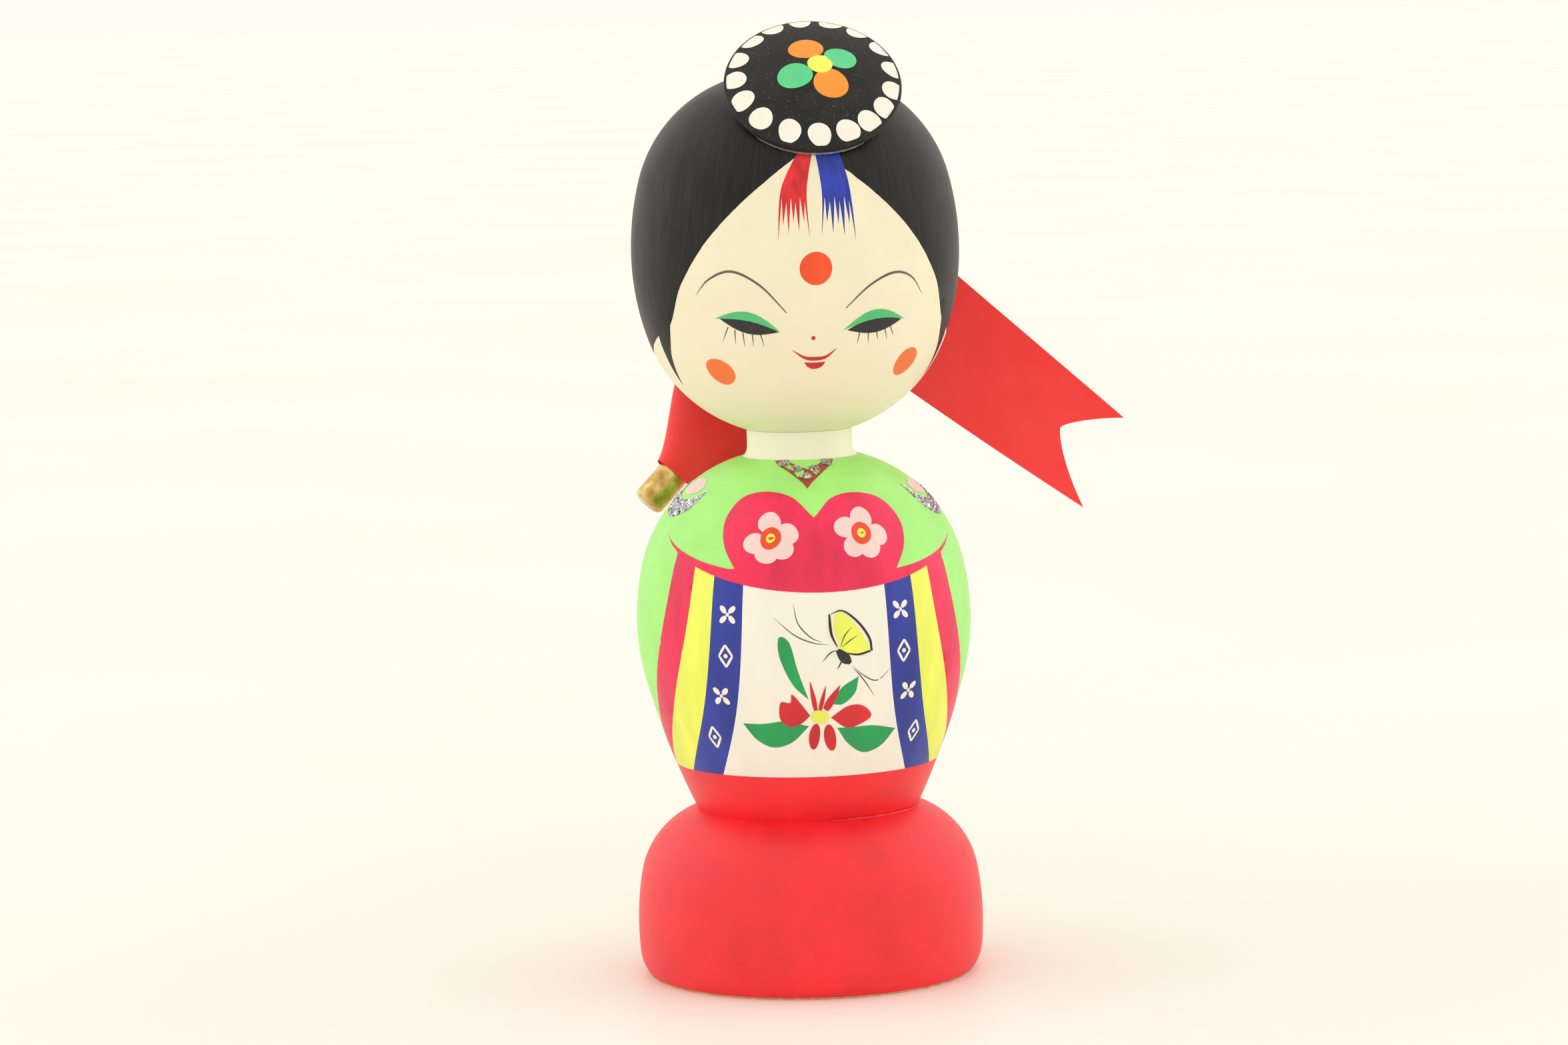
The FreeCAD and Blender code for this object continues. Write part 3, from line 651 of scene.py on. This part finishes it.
# ---------------------------------------------------------------- dress
# the waist: its height in front, its bow per square degree, and how far the dress tilts per degree
WAIST_MM, WAIST_BOW, DRESS_TILT = 73.9, 0.0018, 0.012


def waist(azimuth):
    """Height of the apron's top edge: a shallow bow that lies a little lower on the right."""
    return WAIST_MM + WAIST_BOW * azimuth ** 2 - DRESS_TILT * azimuth


# the stripes' edges, from the white panel outwards: azimuth at the waist, how far they flare, how late
EDGES = [(25, 18, 3), (36.5, 26.5, 3), (45.5, 40, 2.4), (56.5, 42, 2.2)]
APRON_FOOT_MM = 39.7
# how many short lines make up each long edge
EDGE_STEPS, FOOT_STEPS, WAIST_STEPS, SASH_STEPS = 16, 24, 12, 8


def edge_line(number, side):
    """A stripe's edge on one side, from the waist down to the apron's foot."""
    top, flare, power = EDGES[number]
    start = waist(side * top)
    drop = APRON_FOOT_MM - start
    return [(side * (top + flare * (k / EDGE_STEPS) ** power), start + drop * k / EDGE_STEPS)
            for k in range(EDGE_STEPS + 1)]


def between(first, last):
    """The outline between two edges that both run downwards, closed along the foot and the waist."""
    foot = [(first[-1][0] + (last[-1][0] - first[-1][0]) * k / FOOT_STEPS, APRON_FOOT_MM)
            for k in range(1, FOOT_STEPS)]
    top = [last[0][0] + (first[0][0] - last[0][0]) * k / WAIST_STEPS for k in range(1, WAIST_STEPS)]
    return first + foot + last[::-1] + [(a, waist(a)) for a in top]


paint("apron_panel", BODY, [between(edge_line(0, -1), edge_line(0, 1))], WHITE)
for stripe, material in enumerate((BLUE, YELLOW, PINK)):
    paint(f"apron_stripe_{stripe}", BODY,
          [between(edge_line(stripe, side), edge_line(stripe + 1, side)) for side in (-1, 1)], material)

# the heart's right half from the sash up to the notch, and the sash, which thins towards its end
HEART = [(30, 77.8, 1), (36, 82), (38.3, 86.3), (34, 89.8), (22, 90.9), (9, 90)]
NOTCH = (0, 86.8, 1)
HEART_SHIFT = 1.2
SASH_START, SASH_END, SASH_WIDTH = 30, 69, 2.1


def sash(first, last):
    """The sash's upper edge from one azimuth to another."""
    places = [first + (last - first) * k / SASH_STEPS for k in range(SASH_STEPS + 1)]
    return [(a, waist(a) + SASH_WIDTH * (SASH_END - abs(a)) / (SASH_END - SASH_START)) for a in places]


def placed(points):
    """Tilted with the dress, and a little to the right of its middle."""
    return [(p[0] + HEART_SHIFT, p[1] - DRESS_TILT * p[0], *p[2:]) for p in points]


heart = rounded(placed(mirrored(HEART) + [NOTCH] + HEART[::-1]), closed=False)
hem = [(a, waist(a)) for a in range(SASH_END - 3, -SASH_END + 3, -4)]
paint("bodice", BODY, [sash(-SASH_END, -SASH_START - 1) + heart + sash(SASH_START + 1, SASH_END) + hem],
      PINK, 0.08)

PETAL_REACH, PETAL_RISE = 3.05, 2.65


def blossom(name, middle, angles, seed):
    """Five round petals about an orange ring, each its own dab."""
    petals = []
    for k, angle in enumerate(angles):
        turn = math.radians(angle)
        spot = BODY.unflat((PETAL_REACH * math.cos(turn), PETAL_RISE * math.sin(turn)), middle)
        petals.append(oval(BODY, spot, 2.1, 1.8, seed=seed + k))
    paint(name, BODY, petals, BLOSSOM, 0.115, over=0.004)
    paint(f"{name}_ring", BODY, [oval(BODY, middle, 1.9, 1.9, seed=31)], ORANGE, 0.16)
    paint(f"{name}_eye", BODY, [oval(BODY, middle, 0.8, 0.8, seed=32)], YELLOW, 0.19)


blossom("blossom_left", (-16, 83.4), (15, 100, 200, 260, 315), 10)
blossom("blossom_right", (19.5, 83.8), (75, 155, 235, 290, 350), 20)

COLLAR_OUTLINE = [(-28, 95.9, 1), (-17, 95.9), (1.5, 94.6, 1), (19, 95.9), (28, 95.9, 1), (13, 94.4),
                  (3.5, 92.8), (-0.5, 91.6, 1), (-4, 92.8), (-13, 94.4)]
paint("collar", BODY, [rounded(COLLAR_OUTLINE)], COLLAR, 0.06)


# plain ornaments down the blue stripes: florets and lozenges, alternately
FLORET_REACH = 1.25
LOZENGE_CORNERS = ((0, 2.0), (1.35, 0), (0, -2.0), (-1.35, 0), (0, 2.0))


def floret(middle, seed):
    """Four dabs in a cross about a dot."""
    dabs = []
    for k in range(4):
        angle = math.pi * k / 2 + math.pi / 4
        spot = BODY.unflat((FLORET_REACH * math.cos(angle), FLORET_REACH * math.sin(angle)), middle)
        dabs.append(oval(BODY, spot, 0.85, 0.5, math.degrees(angle), 16, seed=seed))
    return dabs + [oval(BODY, middle, 0.35, 0.35, count=12)]


def lozenge(middle, seed):
    """Four strokes about a dot."""
    corners = [BODY.unflat(p, middle) for p in LOZENGE_CORNERS]
    sides = [stroke(BODY, [a, b], 0.5, (0.7, 0.7)) for a, b in zip(corners, corners[1:])]
    return sides + [oval(BODY, middle, 0.42, 0.42, count=12, seed=seed)]


ORNAMENTS = [(30.5, 70), (31.5, 62.5), (35, 55), (42, 47)]
ornaments = []
for side in (-1, 1):
    for k, (azimuth, height) in enumerate(ORNAMENTS):
        shape = floret if k % 2 == 0 else lozenge
        ornaments += shape((side * azimuth, height), 40 + k)
paint("stripe_ornaments", BODY, ornaments, WHITE, 0.09, over=0.0004)


# ---------------------------------------------------------------- apron flower and butterfly
LEAVES = [
    [(-3, 54.5, 1), (-8.5, 57.5), (-12.5, 62.5), (-12.5, 66), (-9, 65), (-6.5, 60)],
    [(5.5, 53.5, 1), (8.5, 56.5), (14.5, 58.5, 1), (13.5, 55.5), (9.5, 53.5)],
    [(-28, 50, 1), (-20, 50), (-11.5, 50.5), (-3, 49.5, 1), (-9.5, 46.5), (-17, 45.5), (-23.5, 47)],
    [(7.5, 49, 1), (13.5, 49), (22, 49), (32, 48, 1), (26.5, 45), (19, 44), (12, 46)],
]
paint("leaves", BODY, [rounded(leaf) for leaf in LEAVES], LEAF, 0.09)
PETALS = [
    [(-2.5, 51.5, 1), (-8.5, 55.5), (-9.5, 54), (-13, 54), (-13.5, 51), (-10.5, 49.5), (-6, 50)],
    [(5, 51, 1), (11, 53), (16.5, 53), (20.5, 51), (16.5, 49.5), (11, 49)],
]
SPIKES = [((-0.5, 52.5), (-2.5, 58), 0.9), ((1, 52.5), (3, 57), 0.8), ((3, 52.5), (8, 57), 1.5)]
paint("flower", BODY,
      [rounded(petal) for petal in PETALS]
      + [oval(BODY, (-1, 47.5), 1.0, 2.4, -6), oval(BODY, (5, 47.2), 1.1, 2.5, 12)]
      + [stroke(BODY, [start, tip], width, (0.7, 0.05), 0.25) for start, tip, width in SPIKES],
      FLOWER_RED, 0.12, over=0.003)
paint("flower_eye", BODY, [oval(BODY, (1, 51.2), 1.6, 1.3, seed=50, wobble=0.06)], YELLOW, 0.17)

WING = [(8.5, 63, 1), (6, 67), (6.5, 70), (9.5, 70), (14, 67.5), (18, 63.5), (14.5, 62.5)]
paint("butterfly_wing", BODY, [rounded(WING)], YELLOW, 0.1)
paint("butterfly_lines", BODY, [
    stroke(BODY, [(4.5, 70), (5, 66.5), (7, 64)], 0.5, (0.6, 0.3), 0.3),
    stroke(BODY, [(5, 70), (9, 70.5), (14, 68.5), (18, 65.5), (19, 63)], 0.45, (0.2, 0.9), 0.7),
    stroke(BODY, [(18.5, 63), (14, 62.5), (9, 63)], 0.4, (0.9, 0.3), 0.3),
    stroke(BODY, [(8, 64), (9.5, 66), (12, 67.5)], 0.2),
    stroke(BODY, [(8.5, 64), (11, 65), (14, 66)], 0.2),
    stroke(BODY, [(7, 63.5), (9.5, 62), (11.5, 61)], 1.9, (0.4, 0.3)),
    stroke(BODY, [(7, 63.5), (4.5, 63), (2, 61.5)], 0.22),
    stroke(BODY, [(9, 62), (8, 61), (7, 60)], 0.25)], INK, 0.13)
paint("swirls", BODY, [
    stroke(BODY, [(-14, 69.5), (-7.5, 66.5), (-1.5, 65), (4, 64.5)], 0.25),
    stroke(BODY, [(-7.5, 72), (-6, 68.5), (-2, 66), (2, 65)], 0.25),
    stroke(BODY, [(12, 60.5), (16.5, 58.5), (21.5, 57.5), (26.5, 59.5)], 0.25),
    stroke(BODY, [(12.5, 60), (16, 58), (21, 54.5)], 0.25)], FINE_INK, 0.075)


# ---------------------------------------------------------------- glitter and lacquer
def scatter(name, outline, count, seed, skin=BODY, lift=0.13):
    """Small six-sided flakes lying at odd angles in a patch."""
    chance = random.Random(seed)
    about, edge, low, high = flattened(skin, outline)
    mesh = bmesh.new()
    laid = 0
    while laid < count:
        spot = tuple(chance.uniform(low[c], high[c]) for c in (0, 1))
        if not inside(spot, edge):
            continue
        laid += 1
        place = skin.unflat(spot, about)
        centre = skin.lay(place, lift)
        outward = (skin.lay(place, lift + 1) - centre).normalized()
        tip = Euler([chance.uniform(-0.5, 0.5) for _ in range(3)]).to_matrix() @ outward
        side = tip.orthogonal().normalized()
        radius = chance.uniform(0.10, 0.19) * MM
        ring = [centre + Matrix.Rotation(math.pi * k / 3, 3, tip) @ side * radius for k in range(6)]
        mesh.faces.new([mesh.verts.new(corner) for corner in ring])
    data = bpy.data.meshes.new(name)
    mesh.to_mesh(data)
    mesh.free()
    return piece(name, data, skin.body, flakes, smooth=False)


def glitter_patch(name, outline, count, seed, lift):
    """Silver lacquer thick with flakes."""
    paint(f"{name}_lacquer", BODY, [outline], lacquer, lift, 0.8)
    scatter(f"{name}_flakes", outline, count, seed, lift=lift + 0.05)


COLLAR_BEADS = [(-17.5, 95.5), (-6.5, 94.7), (-0.5, 93.5), (6, 94.7), (18.5, 95.5)]
for number, middle in enumerate(COLLAR_BEADS):
    glitter_patch(f"collar_{number}", oval(BODY, middle, 1.0, 0.45), 90, number, 0.1)

# on each sleeve: the middle of its pale dab, and the glitter's arc round it
SLEEVES = {
    "left": ((-76, 91.2), [(-96, 91.5), (-89, 89), (-76, 87.5), (-64, 88.5), (-58.5, 91)]),
    "right": ((76, 90.2), [(96, 90.5), (87, 88), (74, 86.5), (63.5, 88), (58, 91)]),
}
for side, (middle, arc) in SLEEVES.items():
    glitter_patch(f"sleeve_{side}", stroke(BODY, arc, 3.0, (0.05, 0.05)), 900, 60 + len(side), 0.06)
    paint(f"sleeve_dab_{side}", BODY, [oval(BODY, middle, 4.0, 1.35, seed=61)], BLOSSOM, 0.075)


# ---------------------------------------------------------------- hat
DOT_ANGLES = [-83, -106, -131, -154, -176, 163, 141, 121, 101, 80, 60, 38, 16, -5, -24, -42, -61]
DOT_RADIUS = 2.1
# the ring's reach, and how much further out it sits at the back and to the side
RING_REACH, RING_BACK, RING_SIDE = 14.4, 0.9, 0.25


def dot_place(angle):
    """The ring of dots sits nearer the rim at the back than at the front."""
    turn = math.radians(angle)
    out = RING_REACH + RING_BACK * math.sin(turn) + RING_SIDE * math.cos(turn)
    return out * math.cos(turn), out * math.sin(turn)


paint("hat_dots", HAT, [oval(HAT, dot_place(angle), DOT_RADIUS, DOT_RADIUS, angle, seed=k + 200, wobble=0.05)
                        for k, angle in enumerate(DOT_ANGLES)], WHITE, 0.07, 0.9)
# the hat's flower: each dab's middle, half sizes, tilt and paint
HAT_PETALS = [
    ((-1.6, 5.5), (3.1, 2.8), 12, HAT_ORANGE),
    ((3.2, -2.9), (3.15, 3.3), 0, HAT_ORANGE),
    ((-3.3, -1.6), (3.15, 3.0), 18, HAT_GREEN),
    ((4.7, 3.6), (2.95, 2.6), -6, HAT_GREEN),
    ((1.1, 1.5), (2.35, 2.2), 8, YELLOW),
]
for k, (spot, size, tilt, material) in enumerate(HAT_PETALS):
    paint(f"hat_petal_{k}", HAT, [oval(HAT, spot, *size, tilt, seed=80 + k)], material, 0.05 + 0.012 * k, 0.9)


def tube(name, line, radius, body, material, seed=1, lumps=0.25):
    """A lumpy bead along a line of points."""
    chance = random.Random(seed)
    curve = bpy.data.curves.new(name, "CURVE")
    curve.dimensions, curve.bevel_depth, curve.bevel_resolution = "3D", radius * MM, 3
    curve.use_fill_caps = True
    spline = curve.splines.new("POLY")
    spline.points.add(len(line) - 1)
    for i, (point, spot) in enumerate(zip(spline.points, line)):
        point.co = (*spot, 1)
        fade = math.sin(math.pi * min(1.0, max(0.0, (i + 0.3) / len(line)))) ** 0.4
        point.radius = fade * (1 + chance.uniform(-lumps, lumps))
    made = bpy.data.objects.new(name, curve)
    scene.collection.objects.link(made)
    bpy.context.view_layer.update()
    mesh = bpy.data.meshes.new_from_object(made.evaluated_get(bpy.context.evaluated_depsgraph_get()))
    bpy.data.objects.remove(made)
    mesh.materials.clear()
    return piece(name, mesh, body, material)


# a bead of glue under the hat's front rim: its radius and drop from the hat's middle, its start and sweep
BEAD_RADIUS, BEAD_DROP, BEAD_START, BEAD_SWEEP, BEAD_POINTS = 15.6, 1.55, -128, 76, 48
# and a bead in the seam between body and foot
SEAM_RADIUS, SEAM_HEIGHT, SEAM_START, SEAM_SWEEP, SEAM_POINTS = 20.75, 31.0, 8, 62, 60

bead = []
for k in range(BEAD_POINTS):
    angle = math.radians(BEAD_START + BEAD_SWEEP * k / (BEAD_POINTS - 1))
    rim = HAT.turn @ Vector((BEAD_RADIUS * math.cos(angle), BEAD_RADIUS * math.sin(angle), -BEAD_DROP)) * MM
    bead.append(HAT_CENTRE * MM + rim)
tube("hat_glue", bead, 0.34, "head", glue, 6)

seam = []
for k in range(SEAM_POINTS):
    angle = math.radians(SEAM_START + SEAM_SWEEP * k / (SEAM_POINTS - 1))
    seam.append(Vector((SEAM_RADIUS * math.sin(angle), -SEAM_RADIUS * math.cos(angle), SEAM_HEIGHT)) * MM)
tube("waist_glue", seam, 0.3, "stand", foot_paint, 7, 0.5)


# ---------------------------------------------------------------- ribbons
skew = math.radians(PIN_SKEW)
PIN_TURN = Matrix.Rotation(-math.radians(PIN_RISE), 3, "Y")
ALONG = PIN_TURN @ Vector((math.cos(skew), math.sin(skew), 0))
TAIL = PIN_TURN @ Vector((0, 0, -1))
BACK = ALONG.cross(TAIL)


def by_pin(x, y, s):
    """A point from the tail's direction, the way back, and the place along the pin."""
    return (PIN_CENTRE + TAIL * x + BACK * y + ALONG * s) * MM


BAND_ROWS, BAND_COLUMNS = 96, 28
# map units to a metre of ribbon, for the weave
WEAVE_SCALE = 40


def band(name, node, place, flat, area):
    """A satin band: place(u, v) gives a point for u along its length and v across it, 0 to 1.

    flat is its width and length before it was folded, in metres; area is not used.
    """
    mesh = bmesh.new()
    uv = mesh.loops.layers.uv.new("Band")
    grid = []
    for i in range(BAND_ROWS + 1):
        row = [place(i / BAND_ROWS, j / BAND_COLUMNS) for j in range(BAND_COLUMNS + 1)]
        grid.append([mesh.verts.new(point) for point in row])
    for i in range(BAND_ROWS):
        for j in range(BAND_COLUMNS):
            face = mesh.faces.new((grid[i][j], grid[i + 1][j], grid[i + 1][j + 1], grid[i][j + 1]))
            for loop, (a, b) in zip(face.loops, ((i, j), (i + 1, j), (i + 1, j + 1), (i, j + 1))):
                across, along = b / BAND_COLUMNS, a / BAND_ROWS
                loop[uv].uv = (across * flat[0] * WEAVE_SCALE, along * flat[1] * WEAVE_SCALE)
    data = bpy.data.meshes.new(name)
    mesh.to_mesh(data)
    mesh.free()
    item = piece(name, data, "hairpin", satin)
    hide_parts(node)


def ease(t):
    """From 0 to 1, slow at both ends."""
    t = min(1.0, max(0.0, t))
    return t * t * (3 - 2 * t)


# the ribbons go round the pin at this radius
LOOP_RADIUS = 3.45
# where the right tail has left its plane and the left one starts to wave; the right one's twist and belly;
# the height of the waves
SETTLE, TWIST, BELLY, WAVE = 16, 4.4, 0.8, 0.5
# right ribbon: the part of its length in the loop, and the loop's start and sweep
RIGHT_LOOP, RIGHT_START, RIGHT_SWEEP = 0.25, -75, 345
# where its near edge lies along the pin, and its width there
RIGHT_ROOT, RIGHT_WIDTH = 7.6, 24.9
# its tail: nominal length, and how far each edge drifts away from the pin's middle by then
RIGHT_TAIL, NEAR_DRIFT, FAR_DRIFT = 62.8, 7.4, 1.8
# the notch's reach and its place across, and how much further the two tips reach
RIGHT_NOTCH, NOTCH_AT, NEAR_TIP, FAR_TIP = 49.8, 0.54, 13.2, 8.2


def right_ribbon(u, v):
    """Once round the pin's upper half, then a flat tail that turns its lower edge to the front."""
    if u < RIGHT_LOOP:
        angle = math.radians(RIGHT_START + RIGHT_SWEEP * u / RIGHT_LOOP)
        root = RIGHT_ROOT + RIGHT_WIDTH * v
        return by_pin(-LOOP_RADIUS * math.sin(angle), LOOP_RADIUS * math.cos(angle), root)
    t = (u - RIGHT_LOOP) / (1 - RIGHT_LOOP)
    if v < NOTCH_AT:
        end = RIGHT_NOTCH + NEAR_TIP * (1 - v / NOTCH_AT) ** 1.25
    else:
        end = RIGHT_NOTCH + FAR_TIP * ((v - NOTCH_AT) / (1 - NOTCH_AT)) ** 1.25
    x = LOOP_RADIUS + t * (end - LOOP_RADIUS)
    down = x / RIGHT_TAIL
    low = RIGHT_ROOT + NEAR_DRIFT * down ** 1.25
    high = RIGHT_ROOT + RIGHT_WIDTH + FAR_DRIFT * down
    wave = WAVE * math.sin(3.1 * down + 1.2 * v)
    y = ease(x / SETTLE) * (TWIST * down * (v - 0.55) + wave + BELLY * math.sin(math.pi * v) * down)
    return by_pin(x, y, low + (high - low) * v)


# left ribbon: the part of its length in the fold, its far edge and width on the pin
LEFT_FOLD, LEFT_ROOT, LEFT_WIDTH = 0.42, -32.6, 25.2
# its fold stands off the pin, higher and leaning further back towards the middle; its free end starts below
FOLD_GAP, FOLD_HEIGHT, FOLD_FULL_AT, FOLD_LEAN, FOLD_START = 1.5, 10.2, 0.95, 3.0, 2.2
# its tail: reach at the tips, depth of the notch, and how far, from where and over what length it swings back
LEFT_TAIL, LEFT_NOTCH = 51.0, 9
SWING, SWING_FROM, SWING_OVER = 13.2, 3.5, 18.5


def left_ribbon(u, v):
    """A loose turn over the pin's lower half, wider towards the middle, whose tail hangs behind the body."""
    s = LEFT_ROOT + LEFT_WIDTH * v
    if u < LEFT_FOLD:
        angle = math.pi * (u / LEFT_FOLD)
        height = FOLD_HEIGHT * math.sin(math.pi / 2 * min(1.0, v / FOLD_FULL_AT)) ** 1.35
        x = -(LOOP_RADIUS + FOLD_GAP + height) * math.sin(angle) ** 0.9 + FOLD_START * (1 - u / LEFT_FOLD)
        return by_pin(x, LOOP_RADIUS * math.cos(angle) + FOLD_LEAN * v * math.sin(angle), s)
    t = (u - LEFT_FOLD) / (1 - LEFT_FOLD)
    x = t * (LEFT_TAIL - LEFT_NOTCH * (1 - abs(2 * v - 1)) ** 1.1)
    y = -LOOP_RADIUS + SWING * ease((x - SWING_FROM) / SWING_OVER)
    y += ease((x - SETTLE) / 20) * WAVE * math.sin(x / 7 + 2 * v)
    return by_pin(x, y, s)


band("ribbon_right_satin", "ribbon_right", right_ribbon, (0.025, 0.081), None)
band("ribbon_left_satin", "ribbon_left", left_ribbon, (0.025, 0.083), None)


# ---------------------------------------------------------------- floor, light and camera
def floor_material():
    """Nearly white, faintly clouded."""
    n = Nodes("Pale_Floor", 0.5, Specular_IOR_Level=0.35)
    cloud = n.noise(3, 2)
    n.colour(n.ramp(cloud, [(0.3, tint(244, 240, 232)), (0.7, tint(248, 245, 238))]))
    n.bump((n.noise(400, 2), 0.05, 0.05))
    return n.material


# the floor's half width, in metres
REACH = 60.0
ground = bpy.data.meshes.new("floor")
ground.from_pydata([(-REACH, -REACH, 0), (REACH, -REACH, 0), (REACH, REACH, 0), (-REACH, REACH, 0)],
                   [], [(0, 1, 2, 3)])
ground.materials.append(floor_material())
floor = bpy.data.objects.new("floor", ground)
scene.collection.objects.link(floor)

world = bpy.data.worlds.new("studio")
world.use_nodes = True
sky = world.node_tree.nodes["Background"]
sky.inputs["Color"].default_value = (1.0, 0.972, 0.905, 1.0)
sky.inputs["Strength"].default_value = 1.0
scene.world = world


def wide_sun(name, azimuth, elevation, strength, spread):
    """Even light from a wide part of the sky: azimuth 0 is in front of the doll."""
    lamp = bpy.data.lights.new(name, "SUN")
    lamp.energy, lamp.angle, lamp.color = strength, math.radians(spread), (1.0, 0.99, 0.97)
    a, e = math.radians(azimuth), math.radians(elevation)
    source = Vector((math.sin(a) * math.cos(e), -math.cos(a) * math.cos(e), math.sin(e)))
    item = bpy.data.objects.new(name, lamp)
    item.rotation_euler = source.to_track_quat("Z", "Y").to_euler()
    scene.collection.objects.link(item)


wide_sun("left", -100, 22, 0.5, 80)
wide_sun("right", 100, 22, 0.45, 80)
wide_sun("above", 0, 75, 0.1, 120)

# the camera: how far it looks down, to the side and rolls, all in radians; its place in metres; its lens
PITCH, PAN, ROLL = math.radians(5.995), math.radians(-0.206), 0.0243
CAMERA_PLACE, FOCAL_LENGTH = Vector((0, -0.900, 0.178)), 112.6

level = Vector((math.sin(PAN), math.cos(PAN), 0))
forward = level * math.cos(PITCH) + Vector((0, 0, -math.sin(PITCH)))
right = Vector((math.cos(PAN), -math.sin(PAN), 0))
up = right.cross(forward)
rolled_right = right * math.cos(ROLL) - up * math.sin(ROLL)
rolled_up = right * math.sin(ROLL) + up * math.cos(ROLL)
optics = bpy.data.cameras.new("camera")
optics.sensor_width, optics.lens, optics.clip_start = 36.0, FOCAL_LENGTH, 0.02
camera = bpy.data.objects.new("camera", optics)
turn = Matrix((rolled_right, rolled_up, -forward)).transposed().to_4x4()
camera.matrix_world = Matrix.Translation(CAMERA_PLACE) @ turn
scene.collection.objects.link(camera)
scene.camera = camera
scene.view_settings.view_transform = "Standard"
